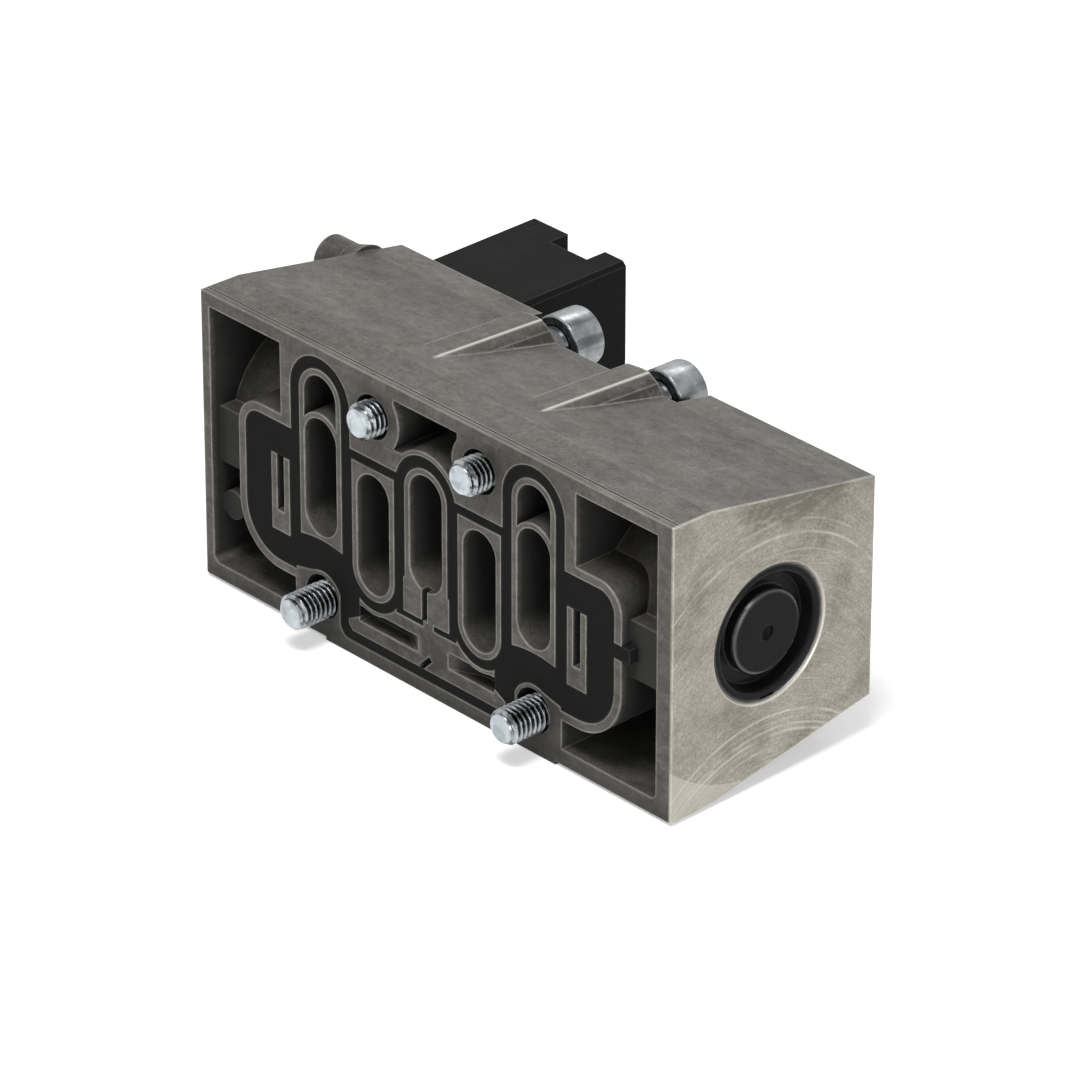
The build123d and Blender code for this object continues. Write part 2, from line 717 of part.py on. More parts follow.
def coil_spring(foot, direction, length, radius, wire_radius, turns):
    """A wound spring that stands at the foot point, its wire inside the length"""
    steps = spring_steps * turns
    rise = length - 2 * wire_radius
    stand = Plane(origin=foot, z_dir=direction)
    path = []
    for step in range(steps + 1):
        turn = math.radians(360 * step / spring_steps)
        point = Vector(radius * math.cos(turn), radius * math.sin(turn), wire_radius + rise * step / steps)
        path.append(stand.from_local_coords(point))
    with BuildPart() as spring:
        with BuildLine() as coil:
            Polyline(*path)
        with BuildSketch(Plane(origin=coil.line @ 0, z_dir=coil.line % 0)):
            RegularPolygon(wire_radius, spring_sides)
        sweep(transition=Transition.RIGHT)
    return spring.part


spring_start = spool_right - spring_pocket_depth
return_spring = coil_spring(
    (spring_start, bore_y, 0),
    (1, 0, 0),
    plug_back_right - spring_start,
    return_spring_radius,
    return_wire_radius,
    return_spring_turns,
)


# Plugs, their seals and their retaining rings

def end_plug(face, inward):
    """A moulded plug with a rim, a raised disc and a seal groove. Inward is -1 in the right end"""
    rim = plug_bore_radius - plug_clearance
    groove_start = plug_length - plug_seal_back - plug_seal_width
    outline = (
        (dimple_depth, 0),
        (dimple_wall, dimple_radius),
        (0, dimple_radius),
        (0, plug_disc_radius - plug_disc_edge),
        (plug_disc_round, plug_disc_radius - plug_disc_round),
        (plug_disc_edge, plug_disc_radius),
        (plug_groove_depth, plug_disc_radius),
        (plug_groove_depth, plug_rim_inner_radius - plug_rim_slope),
        (plug_rim_drop, plug_rim_inner_radius),
        (0, plug_rim_inner_radius + plug_rim_round),
        (0, rim - ring_band + ring_bite),
        (ring_width, rim - ring_band + ring_bite),
        (ring_width, rim),
        (groove_start, rim),
        (groove_start, rim - plug_seal_height),
        (groove_start + plug_seal_width, rim - plug_seal_height),
        (groove_start + plug_seal_width, rim),
        (plug_length, rim),
        (plug_length, 0),
    )
    with BuildPart() as plug:
        turned([(face + inward * x, radius) for x, radius in outline])
    return plug.part


def plug_seal(face, inward):
    """The ring in the plug's groove"""
    rim = plug_bore_radius - plug_clearance
    start = plug_length - plug_seal_back - plug_seal_width
    low, high = start + groove_clearance, start + plug_seal_width - groove_clearance
    floor = rim - plug_seal_height + groove_clearance
    top = plug_bore_radius - seal_clearance
    side = top - seal_crown
    points = ((low, floor), (high, floor), (high, side), ((low + high) / 2, top), (low, side))
    with BuildPart() as ring:
        turned([(face + inward * x, radius) for x, radius in points])
    return ring.part


def retaining_ring(face, inward):
    """A split ring that springs into the groove in front of the plug"""
    outside = plug_bore_radius + ring_bite - groove_clearance
    inside = plug_bore_radius + ring_bite - ring_band
    ring_gap = 2 * outside * math.sin(math.radians(ring_gap_deg / 2))
    with BuildPart() as ring:
        with BuildSketch(Plane.YZ.offset(face)):
            with Locations((bore_y, 0)):
                Circle(outside)
                Circle(inside, mode=Mode.SUBTRACT)
            with Locations((bore_y, -outside)):
                Rectangle(ring_gap, 2 * ring_band + ring_bite, mode=Mode.SUBTRACT)
        extrude(amount=inward * (ring_width - groove_clearance))
    return ring.part


# Pilot gasket, base, seat and override

with BuildPart() as pilot_gasket:
    with BuildSketch(Plane.XZ.offset(-body_depth)):
        edge = pilot_half_height - pilot_gasket_margin
        span(pilot_left + pilot_gasket_margin, pilot_right - pilot_gasket_margin, -edge, edge)
        with Locations(*pilot_screw_places):
            Circle(pilot_screw_radius + 3 * fit_gap, mode=Mode.SUBTRACT)
        with Locations((pilot_x, 0), (pilot_x, air_hole_pitch)):
            Circle(1.5 * air_hole_radius, mode=Mode.SUBTRACT)
    extrude(amount=-pilot_gasket_thickness)

seat_top = pilot_joint_y + seat_proud
neck_end = pilot_joint_y + neck_length
chamber_floor = pilot_joint_y - seat_chamber_depth
tube_foot = pilot_joint_y - socket_bite
override_y = pilot_base_y + pilot_base_thickness / 2
override_seat_z = override_depth - pilot_half_height
override_spring_z = override_length - override_pocket_depth - pilot_half_height
with BuildPart() as pilot_body:
    with BuildSketch(Plane.XZ.offset(-pilot_base_y)):
        span(pilot_left, pilot_right, -pilot_half_height, pilot_half_height)
    extrude(amount=-pilot_base_thickness)
    chamfer(pilot_body.edges().filter_by(Axis.Y), pilot_chamfer)
    with BuildSketch(Plane.XZ.offset(-pilot_joint_y)):
        with Locations((pilot_x, 0)):
            Circle(neck_radius)
    extrude(amount=-neck_length)
    for start, radius in ((chamber_floor, seat_chamber_radius), (tube_foot, tube_socket_radius)):
        with BuildSketch(Plane.XZ.offset(-start)):
            with Locations((pilot_x, 0)):
                Circle(radius)
        extrude(amount=-(neck_end - start), mode=Mode.SUBTRACT)
    with BuildSketch(Plane.XZ.offset(-pilot_base_y)):
        with Locations((pilot_x, 0)):
            Circle(seat_radius)
        with Locations((pilot_x, air_hole_pitch)):
            Circle(air_hole_radius)
        with Locations(*pilot_screw_places):
            Circle(pilot_screw_radius + 2 * fit_gap)
    extrude(amount=-pilot_base_thickness, mode=Mode.SUBTRACT)
    with BuildSketch(Plane.XY.offset(-pilot_half_height)):
        with Locations((pilot_x, override_y)):
            Circle(override_radius + seal_clearance)
    extrude(amount=override_seat_z + pilot_half_height, mode=Mode.SUBTRACT)

with BuildPart() as valve_seat:
    turned_pilot(
        (
            (seat_hole_radius, pilot_base_y),
            (seat_radius, pilot_base_y),
            (seat_radius, seat_top - seat_lip),
            (seat_lip_radius, seat_top),
            (seat_hole_radius, seat_top),
        )
    )

override_seal_z = override_groove_start - pilot_half_height
override_groove_floor = override_radius - override_groove_depth
with BuildPart() as override_button:
    with BuildSketch(Plane.XY.offset(-pilot_half_height - override_proud)):
        with Locations((pilot_x, override_y)):
            Circle(override_radius)
    extrude(amount=override_proud + override_length)
    with BuildSketch(Plane.XY.offset(override_seal_z)):
        with Locations((pilot_x, override_y)):
            Circle(2 * override_radius)
            Circle(override_groove_floor, mode=Mode.SUBTRACT)
    extrude(amount=override_groove, mode=Mode.SUBTRACT)
    with BuildSketch(Plane.XY.offset(-pilot_half_height - override_proud)):
        with Locations((pilot_x, override_y)):
            Rectangle(2 * override_radius, override_slot_width)
    extrude(amount=override_slot_depth, mode=Mode.SUBTRACT)
    with BuildSketch(Plane.XY.offset(override_length - pilot_half_height)):
        with Locations((pilot_x, override_y)):
            Circle(override_pocket_radius)
    extrude(amount=-override_pocket_depth, mode=Mode.SUBTRACT)

with BuildPart() as override_seal:
    with BuildSketch(Plane.XY.offset(override_seal_z + groove_clearance)):
        with Locations((pilot_x, override_y)):
            Circle(override_radius)
            Circle(override_groove_floor + groove_clearance, mode=Mode.SUBTRACT)
    extrude(amount=override_groove - 2 * groove_clearance)

override_spring = coil_spring(
    (pilot_x, override_y, override_spring_z),
    (0, 0, 1),
    override_seat_z - override_spring_z,
    override_spring_radius,
    override_wire_radius,
    override_spring_turns,
)


# Armature tube with its fixed core, plunger, seal and spring

tube_inner = tube_radius - tube_wall
tube_start = tube_foot + tube_seal_height
yoke_start = neck_end + 2 * fit_gap
yoke_end = yoke_start + yoke_length
core_end = notch_floor + nut_height + core_proud
core_start = core_end - core_length
plunger_radius = tube_inner - plunger_clearance
plunger_top = core_start - plunger_stroke
plunger_foot = seat_top + plunger_pad_proud
pad_back = seat_top + plunger_pad_height
with BuildPart() as armature_tube:
    turned_pilot(
        (
            (tube_inner, tube_start),
            (tube_socket_radius - fit_gap, tube_start),
            (tube_socket_radius - fit_gap, yoke_start),
            (tube_radius, yoke_start),
            (tube_radius, core_end),
            (0, core_end),
            (0, core_start),
            (tube_inner, core_start),
        )
    )

with BuildPart() as tube_seal:
    turned_pilot(
        (
            (tube_inner, tube_foot),
            (tube_socket_radius - groove_clearance, tube_foot),
            (tube_socket_radius - groove_clearance, tube_start),
            (tube_inner, tube_start),
        )
    )

with BuildPart() as plunger:
    turned_pilot(
        (
            (0, pad_back),
            (plunger_pad_radius, pad_back),
            (plunger_pad_radius, plunger_foot),
            (plunger_radius, plunger_foot),
            (plunger_radius, plunger_top),
            (spring_hole_radius, plunger_top),
            (spring_hole_radius, plunger_top - spring_hole_depth),
            (0, plunger_top - spring_hole_depth),
        )
    )

with BuildPart() as plunger_seal:
    turned_pilot(
        (
            (0, seat_top),
            (plunger_pad_radius - groove_clearance, seat_top),
            (plunger_pad_radius - groove_clearance, pad_back),
            (0, pad_back),
        )
    )

plunger_spring = coil_spring(
    (pilot_x, plunger_top - spring_hole_depth, 0),
    (0, 1, 0),
    spring_hole_depth + plunger_stroke,
    plunger_spring_radius,
    plunger_wire_radius,
    plunger_spring_turns,
)


# Coil: bobbin, winding and yoke in the moulded housing, and the nut that holds it on the tube

with BuildPart() as magnet_yoke:
    with BuildSketch(Plane.YZ.offset(pilot_x - yoke_half_width)):
        with Locations(((yoke_start + yoke_end) / 2, 0)):
            Rectangle(yoke_length, 2 * yoke_half_height)
            Rectangle(
                yoke_length - 2 * yoke_plate, 2 * (yoke_half_height - yoke_plate), mode=Mode.SUBTRACT
            )
    extrude(amount=2 * yoke_half_width)
    with BuildSketch(Plane.XZ.offset(-yoke_start)):
        with Locations((pilot_x, 0)):
            Circle(tube_radius + fit_gap)
    extrude(amount=-yoke_length, mode=Mode.SUBTRACT)

bobbin_start = yoke_start + yoke_plate + fit_gap
bobbin_end = yoke_end - yoke_plate - fit_gap
bobbin_inner = tube_radius + fit_gap
bobbin_hub = bobbin_inner + bobbin_wall
with BuildPart() as coil_bobbin:
    turned_pilot(
        (
            (bobbin_inner, bobbin_start),
            (bobbin_flange_radius, bobbin_start),
            (bobbin_flange_radius, bobbin_start + bobbin_flange),
            (bobbin_hub, bobbin_start + bobbin_flange),
            (bobbin_hub, bobbin_end - bobbin_flange),
            (bobbin_flange_radius, bobbin_end - bobbin_flange),
            (bobbin_flange_radius, bobbin_end),
            (bobbin_inner, bobbin_end),
        )
    )

with BuildPart() as coil_winding:
    turned_pilot(
        (
            (bobbin_hub + fit_gap, bobbin_start + bobbin_flange + fit_gap),
            (coil_radius, bobbin_start + bobbin_flange + fit_gap),
            (coil_radius, bobbin_end - bobbin_flange - fit_gap),
            (bobbin_hub + fit_gap, bobbin_end - bobbin_flange - fit_gap),
        )
    )

blade_places = ((blade_y, blade_pitch / 2), (blade_y, -blade_pitch / 2))
with BuildPart() as pilot_housing:
    with BuildSketch(Plane.XZ.offset(-pilot_joint_y)):
        span(pilot_left, pilot_right, -pilot_half_height, pilot_half_height)
    extrude(amount=-(pilot_far - pilot_joint_y))
    with BuildSketch(Plane.XY.offset(-pilot_half_height)):
        span(notch_left, notch_right, notch_floor, pilot_far)
    extrude(amount=2 * pilot_half_height, mode=Mode.SUBTRACT)
    corners = pilot_housing.edges().filter_by(Axis.Y)
    chamfer(corners.filter_by(lambda edge: edge.length > 2 * pilot_notch_depth), pilot_chamfer)
    # cavity for the coil, the neck and the tube
    with BuildSketch(Plane.XZ.offset(-pilot_joint_y)):
        with Locations((pilot_x, 0)):
            Circle(neck_radius + fit_gap)
    extrude(amount=-(yoke_start - fit_gap - pilot_joint_y), mode=Mode.SUBTRACT)
    with BuildSketch(Plane.XZ.offset(fit_gap - yoke_start)):
        with Locations((pilot_x, 0)):
            Rectangle(2 * (yoke_half_width + yoke_play), 2 * (yoke_half_height + fit_gap))
    extrude(amount=-(yoke_length + 2 * fit_gap), mode=Mode.SUBTRACT)
    with BuildSketch(Plane.XZ.offset(-yoke_end)):
        with Locations((pilot_x, 0)):
            Circle(tube_radius + 2 * fit_gap)
    extrude(amount=-(pilot_far - yoke_end), mode=Mode.SUBTRACT)
    # screw holes with counterbores in the far face
    with BuildSketch(Plane.XZ.offset(-pilot_joint_y)):
        with Locations(*pilot_screw_places):
            Circle(pilot_screw_radius + 2 * fit_gap)
    extrude(amount=-(pilot_far - pilot_joint_y), mode=Mode.SUBTRACT)
    with BuildSketch(Plane.XZ.offset(-pilot_far)):
        with Locations(*pilot_screw_places):
            Circle(pilot_screw_head_radius + head_play)
    extrude(amount=pilot_screw_head_height + pilot_screw_sink, mode=Mode.SUBTRACT)
    # pocketed face for the connector, with its screw hole and the roots of the blades
    with BuildSketch(Plane.YZ.offset(pilot_left)):
        with Locations((blade_y, 0)):
            Circle(connector_hole_radius)
    extrude(amount=connector_hole_depth, mode=Mode.SUBTRACT)
    with BuildSketch(Plane.YZ.offset(pilot_left)):
        with Locations(*blade_places):
            Rectangle(blade_width, blade_thickness)
        with Locations((blade_y + blade_pitch / 2, 0)):
            Rectangle(blade_thickness, blade_width)
    extrude(amount=blade_root, mode=Mode.SUBTRACT)

with BuildPart() as terminal_blades:
    with BuildSketch(Plane.YZ.offset(pilot_left - blade_length)):
        with Locations(*blade_places):
            Rectangle(blade_width, blade_thickness)
        with Locations((blade_y + blade_pitch / 2, 0)):
            Rectangle(blade_thickness, blade_width)
    extrude(amount=blade_length + blade_root)

with BuildPart() as tube_nut:
    with BuildSketch(Plane.XZ.offset(-notch_floor)):
        with Locations((pilot_x, 0)):
            RegularPolygon(nut_width / 2, 6, major_radius=False)
            Circle(tube_radius + groove_clearance, mode=Mode.SUBTRACT)
    extrude(amount=-nut_height)

with BuildPart() as pilot_screws:
    screw_head_seat = pilot_far - pilot_screw_head_height - pilot_screw_sink
    screw_end = body_depth - pilot_screw_bite
    with BuildSketch(Plane.XZ.offset(-screw_end)):
        with Locations(*pilot_screw_places):
            Circle(pilot_screw_radius)
    extrude(amount=-(screw_head_seat - screw_end))
    with BuildSketch(Plane.XZ.offset(-screw_head_seat)):
        with Locations(*pilot_screw_places):
            Circle(pilot_screw_head_radius)
    extrude(amount=-pilot_screw_head_height)
    with BuildSketch(Plane.XZ.offset(-screw_head_seat - pilot_screw_head_height)):
        with Locations(*pilot_screw_places):
            RegularPolygon(pilot_screw_socket / 2, 6, major_radius=False)
    extrude(amount=pilot_screw_socket_depth, mode=Mode.SUBTRACT)


# Write every piece under its own name

pieces = {
    "valve_body": valve_body.part,
    "interface_gasket": interface_gasket.part,
    "upper_left_screw": upper_left_screw,
    "upper_right_screw": upper_right_screw,
    "lower_left_screw": lower_left_screw,
    "lower_right_screw": lower_right_screw,
    "spool": spool.part,
    "spool_seals": spool_seals.part,
    "pilot_piston": pilot_piston.part,
    "piston_seal": piston_seal.part,
    "return_spring": return_spring,
    "right_end_plug": end_plug(plug_face_right, -1),
    "left_end_plug": end_plug(plug_face_left, 1),
    "right_plug_seal": plug_seal(plug_face_right, -1),
    "left_plug_seal": plug_seal(plug_face_left, 1),
    "right_retaining_ring": retaining_ring(plug_face_right, -1),
    "left_retaining_ring": retaining_ring(plug_face_left, 1),
    "pilot_gasket": pilot_gasket.part,
    "pilot_body": pilot_body.part,
    "valve_seat": valve_seat.part,
    "override_button": override_button.part,
    "override_seal": override_seal.part,
    "override_spring": override_spring,
    "armature_tube": armature_tube.part,
    "tube_seal": tube_seal.part,
    "plunger": plunger.part,
    "plunger_seal": plunger_seal.part,
    "plunger_spring": plunger_spring,
    "magnet_yoke": magnet_yoke.part,
    "coil_bobbin": coil_bobbin.part,
    "coil_winding": coil_winding.part,
    "pilot_housing": pilot_housing.part,
    "terminal_blades": terminal_blades.part,
    "tube_nut": tube_nut.part,
    "pilot_screws": pilot_screws.part,
}
os.makedirs("parts", exist_ok=True)
for name, piece in pieces.items():
    piece.label = name
    export_step(piece, f"parts/{name}.step")
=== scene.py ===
import math

import bpy
from mathutils import Matrix, Vector


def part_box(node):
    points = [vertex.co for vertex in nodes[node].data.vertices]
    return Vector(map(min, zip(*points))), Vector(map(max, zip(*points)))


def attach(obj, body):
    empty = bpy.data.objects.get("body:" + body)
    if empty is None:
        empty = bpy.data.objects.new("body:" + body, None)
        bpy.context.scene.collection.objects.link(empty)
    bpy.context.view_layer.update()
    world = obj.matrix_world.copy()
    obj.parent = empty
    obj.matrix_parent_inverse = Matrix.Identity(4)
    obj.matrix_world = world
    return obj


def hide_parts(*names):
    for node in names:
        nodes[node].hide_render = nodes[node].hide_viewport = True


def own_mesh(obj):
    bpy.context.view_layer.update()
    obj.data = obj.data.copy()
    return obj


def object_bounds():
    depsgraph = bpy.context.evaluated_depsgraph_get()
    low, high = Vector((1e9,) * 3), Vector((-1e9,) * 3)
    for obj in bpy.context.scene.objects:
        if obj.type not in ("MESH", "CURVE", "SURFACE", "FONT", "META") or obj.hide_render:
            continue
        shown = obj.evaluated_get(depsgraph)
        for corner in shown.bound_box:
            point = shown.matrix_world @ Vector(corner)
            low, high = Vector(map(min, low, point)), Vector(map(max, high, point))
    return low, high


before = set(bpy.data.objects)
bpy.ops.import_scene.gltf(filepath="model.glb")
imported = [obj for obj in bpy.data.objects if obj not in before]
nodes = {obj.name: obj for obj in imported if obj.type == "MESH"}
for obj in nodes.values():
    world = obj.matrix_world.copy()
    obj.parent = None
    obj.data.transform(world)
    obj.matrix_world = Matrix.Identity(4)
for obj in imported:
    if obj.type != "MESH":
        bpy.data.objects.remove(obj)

MM = 0.001
cad_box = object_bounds()


# Selecting and finishing

turned_steps, smooth_angle = 40, 40


def deselect():
    if bpy.context.mode != "OBJECT":
        bpy.ops.object.mode_set(mode="OBJECT")
    bpy.ops.object.select_all(action="DESELECT")


def only(piece):
    """Selects this piece alone and makes it active"""
    deselect()
    piece.select_set(True)
    bpy.context.view_layer.objects.active = piece


def edit(piece, kind="VERT"):
    """Opens the piece for editing, with nothing in it selected"""
    only(piece)
    bpy.ops.object.mode_set(mode="EDIT")
    bpy.ops.mesh.select_mode(type=kind)
    bpy.ops.mesh.select_all(action="DESELECT")


def done_editing():
    bpy.ops.object.mode_set(mode="OBJECT")


def finish(piece, name, material, body):
    """Names the finished piece, lays its place into its mesh, and lets it ride"""
    only(piece)
    piece.name = name
    piece.data.name = name
    bpy.ops.object.transform_apply(location=True, rotation=True, scale=True)
    bpy.ops.object.shade_smooth_by_angle(angle=math.radians(smooth_angle))
    piece.data.materials.clear()
    piece.data.materials.append(material)
    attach(piece, body)


def wind(piece, steps, rise, rounds):
    """Sweeps the active piece's outline round Z, rising by so many millimetres in each round"""
    winding = piece.modifiers.new("winding", "SCREW")
    winding.axis = "Z"
    winding.steps = winding.render_steps = steps
    winding.screw_offset = rise * MM
    winding.iterations = rounds
    bpy.ops.object.modifier_apply(modifier=winding.name)


def turned(points, pitch=0.0, rounds=1):
    """A surface turned about Z from (radius, height) points in millimetres, or wound if it has a pitch"""
    deselect()
    bpy.ops.mesh.primitive_circle_add(vertices=len(points), radius=MM)
    piece = bpy.context.active_object
    edit(piece, "EDGE")
    done_editing()
    # the circle's closing edge goes, which leaves an open line of points
    closing = {0, len(points) - 1}
    for edge in piece.data.edges:
        edge.select = set(edge.vertices) == closing
    bpy.ops.object.mode_set(mode="EDIT")
    bpy.ops.mesh.delete(type="EDGE")
    done_editing()
    for vertex, (radius, height) in zip(piece.data.vertices, points):
        vertex.co = (radius * MM, 0, height * MM)
    wind(piece, turned_steps, pitch, rounds)
    return piece


def weld(piece, distance=0.002):
    """Merges points within so many millimetres and turns every face outward"""
    edit(piece)
    bpy.ops.mesh.select_all(action="SELECT")
    bpy.ops.mesh.remove_doubles(threshold=distance * MM)
    bpy.ops.mesh.dissolve_degenerate(threshold=distance * MM)
    bpy.ops.mesh.select_all(action="SELECT")
    bpy.ops.mesh.normals_make_consistent(inside=False)
    done_editing()


def close_ends(piece):
    """Fills every open round end"""
    edit(piece)
    bpy.ops.mesh.select_non_manifold(
        extend=False,
        use_wire=False,
        use_boundary=True,
        use_multi_face=False,
        use_non_contiguous=False,
        use_verts=False,
    )
    bpy.ops.mesh.fill_holes(sides=0)
    done_editing()


def cut(piece, tool):
    """Takes the tool's shape out of the piece"""
    cutter = piece.modifiers.new("cut", "BOOLEAN")
    cutter.operation = "DIFFERENCE"
    cutter.solver = "EXACT"
    cutter.object = tool
    only(piece)
    bpy.ops.object.modifier_apply(modifier=cutter.name)
    bpy.data.objects.remove(tool, do_unlink=True)


# Nodes that the materials are made of. Lengths are in millimetres.

edge_samples, hollow_samples = 4, 4


def new_material(name):
    material = bpy.data.materials.new(name)
    material.use_nodes = True
    tree = material.node_tree
    tree.nodes.clear()
    output = tree.nodes.new("ShaderNodeOutputMaterial")
    shader = tree.nodes.new("ShaderNodeBsdfPrincipled")
    tree.links.new(shader.outputs["BSDF"], output.inputs["Surface"])
    return material, tree, shader


def place(tree, stretch=(1, 1, 1)):
    """Object coordinates, scaled per axis, so that a small scale gives long marks"""
    coordinates = tree.nodes.new("ShaderNodeTexCoord")
    mapping = tree.nodes.new("ShaderNodeMapping")
    mapping.inputs["Scale"].default_value = [s / MM for s in stretch]
    tree.links.new(coordinates.outputs["Object"], mapping.inputs["Vector"])
    return mapping.outputs["Vector"]


def split(tree, vector):
    """The X, Y and Z of a vector"""
    node = tree.nodes.new("ShaderNodeSeparateXYZ")
    tree.links.new(vector, node.inputs["Vector"])
    return [node.outputs[axis] for axis in "XYZ"]


def facing(tree):
    """The X, Y and Z of the way the surface faces"""
    return split(tree, tree.nodes.new("ShaderNodeNewGeometry").outputs["Normal"])


def noise(tree, vector, size, detail, rough, warp=0.0):
    """Noise with grains of about that size"""
    node = tree.nodes.new("ShaderNodeTexNoise")
    node.inputs["Scale"].default_value = 1 / size
    node.inputs["Detail"].default_value = detail
    node.inputs["Roughness"].default_value = rough
    node.inputs["Distortion"].default_value = warp
    tree.links.new(vector, node.inputs["Vector"])
    return node.outputs["Fac"]


def ramp(tree, value, stops):
    """A colour ramp from (value, colour or grey) stops"""
    node = tree.nodes.new("ShaderNodeValToRGB")
    while len(node.color_ramp.elements) < len(stops):
        node.color_ramp.elements.new(0.5)
    for element, (position, colour) in zip(node.color_ramp.elements, stops):
        element.position = position
        element.color = (*colour, 1) if isinstance(colour, tuple) else (colour, colour, colour, 1)
    tree.links.new(value, node.inputs["Fac"])
    return node.outputs["Color"]


def maths(tree, operation, *values):
    """One step of reckoning with numbers or the outputs of nodes"""
    node = tree.nodes.new("ShaderNodeMath")
    node.operation = operation
    for index, value in enumerate(values):
        if isinstance(value, (int, float)):
            node.inputs[index].default_value = value
        else:
            tree.links.new(value, node.inputs[index])
    return node.outputs["Value"]


def product(tree, first, *others):
    for other in others:
        first = maths(tree, "MULTIPLY", first, other)
    return first


def larger(tree, first, second):
    return maths(tree, "MAXIMUM", first, second)


def over(tree, value, limit):
    """1 where the value is over the limit, 0 elsewhere"""
    return maths(tree, "GREATER_THAN", value, limit)


def under(tree, value, limit):
    """1 where the value is under the limit, 0 elsewhere"""
    return maths(tree, "LESS_THAN", value, limit)


def size_of(tree, value):
    return maths(tree, "ABSOLUTE", value)


def graded(tree, value, full, stops):
    """A ramp over a value that runs from 0 to full"""
    return ramp(tree, maths(tree, "DIVIDE", value, full), stops)


def near(tree, value, middle, reach):
    """1 where the value is at the middle, falling to 0 at the reach on both sides"""
    away = size_of(tree, maths(tree, "SUBTRACT", value, middle))
    return larger(tree, maths(tree, "SUBTRACT", 1.0, maths(tree, "DIVIDE", away, reach)), 0.0)


def near_either(tree, value, middles, reach):
    return larger(tree, *(near(tree, value, middle, reach) for middle in middles))


def distance_from(tree, first, second, middle):
    """How far the pair of values is from the middle"""
    squares = [
        maths(tree, "POWER", size_of(tree, maths(tree, "SUBTRACT", value, centre)), 2.0)
        for value, centre in zip((first, second), middle)
    ]
    return maths(tree, "SQRT", maths(tree, "ADD", *squares))


# A Mix node repeats the names of its sockets for each kind of data, so they are picked by number
def blend_colour(tree, share, first, second, kind="MIX"):
    node = tree.nodes.new("ShaderNodeMix")
    node.data_type = "RGBA"
    node.blend_type = kind
    for index, value in ((0, share), (6, first), (7, second)):
        if isinstance(value, (int, float)):
            node.inputs[index].default_value = value
        elif isinstance(value, tuple):
            node.inputs[index].default_value = (*value, 1)
        else:
            tree.links.new(value, node.inputs[index])
    return node.outputs[2]


def blend_normal(tree, share, first, second):
    node = tree.nodes.new("ShaderNodeMix")
    node.data_type = "VECTOR"
    for index, value in ((0, share), (4, first), (5, second)):
        tree.links.new(value, node.inputs[index])
    return node.outputs[1]


def rounded(tree, radius):
    """The normal of softened edges"""
    node = tree.nodes.new("ShaderNodeBevel")
    node.samples = edge_samples
    node.inputs["Radius"].default_value = radius * MM
    return node.outputs["Normal"]


def leaning(tree, soft):
    """How far the softened normal leans from the flat one: 0 on a flat, about 0.54 on a square edge"""
    geometry = tree.nodes.new("ShaderNodeNewGeometry")
    dot = tree.nodes.new("ShaderNodeVectorMath")
    dot.operation = "DOT_PRODUCT"
    tree.links.new(soft, dot.inputs[0])
    tree.links.new(geometry.outputs["Normal"], dot.inputs[1])
    return maths(tree, "SQRT", larger(tree, maths(tree, "SUBTRACT", 1.0, dot.outputs["Value"]), 0.0))


def bump(tree, height, depth, soft):
    """Bump of that depth on top of the softened normal"""
    node = tree.nodes.new("ShaderNodeBump")
    node.inputs["Distance"].default_value = depth * MM
    tree.links.new(height, node.inputs["Height"])
    tree.links.new(soft, node.inputs["Normal"])
    return node.outputs["Normal"]


def hollows(tree, distance):
    """1 in the open, falling to 0 deep in corners"""
    node = tree.nodes.new("ShaderNodeAmbientOcclusion")
    node.samples = hollow_samples
    node.inputs["Distance"].default_value = distance * MM
    return node.outputs["AO"]


def seen_directly(tree):
    """1 for rays of the camera, of mirrors and through glass, 0 for those that light the object"""
    rays = tree.nodes.new("ShaderNodeLightPath").outputs
    mirrored = larger(tree, rays["Is Glossy Ray"], rays["Is Transmission Ray"])
    return larger(tree, rays["Is Camera Ray"], mirrored)


# The casting. Its own X runs along the bore, Y back from the port face and Z up.

# cast colours: the dark of the hollows and openings is painted shade, the smudge colour is smudge and
# painted shade, and the worn and crest colours are wear with a painted highlight
cast_dark, cast_light, worn_and_highlit_edge = (0.072, 0.069, 0.063), (0.127, 0.122, 0.111), (0.40, 0.385, 0.35)
stain, scuff_mark, smudge_and_shade_dark = (0.112, 0.1, 0.082), (0.21, 0.2, 0.18), (0.026, 0.024, 0.021)
crest_wear_and_highlight, painted_shade_colour, painted_shade_rough = (0.56, 0.545, 0.51), (0.0235, 0.0235, 0.0232), (0.85, 0.85, 0.85)
milled_dark, milled_middle, milled_light = (0.2, 0.18, 0.142), (0.29, 0.272, 0.228), (0.335, 0.318, 0.272)
cutter_mark, fresh_corner, dull_smear = (0.62, 0.6, 0.53), (0.5, 0.48, 0.42), (0.12, 0.105, 0.082)
# bare metal of the burrs, also the colour of the painted highlight on the bore's mouth
bare_edge_and_highlight = (0.72, 0.71, 0.66)

cast_metallic, cast_round_off, cast_relief, milled_relief = 0.55, 0.62, 0.1, 0.05
narrow_hollow, wide_hollow = 9, 22
land_top = 0.3
foot_half_length, foot_level, foot_reach, foot_depth = 26.0, -23.5, 7.0, 9.0
left_boss_end, milled_start = -70.2, 71.35
# the openings of the port face hold painted shade, which starts within this depth from the face
opening_half_length, opening_depth, opening_half_height, painted_shade_depth = 68.5, 46.0, 40.0, 12.0
top_length, crest_level, flank_level = 50.0, 27.0, 24.5
crest_places, flank_places = (-15.1, 16.9), (-12.2, 19.8)
crest_reach, flank_reach = 0.5, 3.0

# on the milled end, places are pairs of Y and Z
bore_middle, mouth_radius, mouth_reach = (26.7, 0.0), 15.35, 0.32
cutter_radius, cutter_middle, cutter_weave = 37.3, 25.0, 0.06
last_pass_middle, last_pass_radius, corner_limit = (26.0, 8.0), 39.4, -8.0
smear_middle, smear_reach = (36.0, 29.0), (22.0, 8.0)
# how the painted highlight on the bore's mouth leans, where it starts and how far it runs
highlight_lean, highlight_start, highlight_length = 1.3, 14.0, 34.0
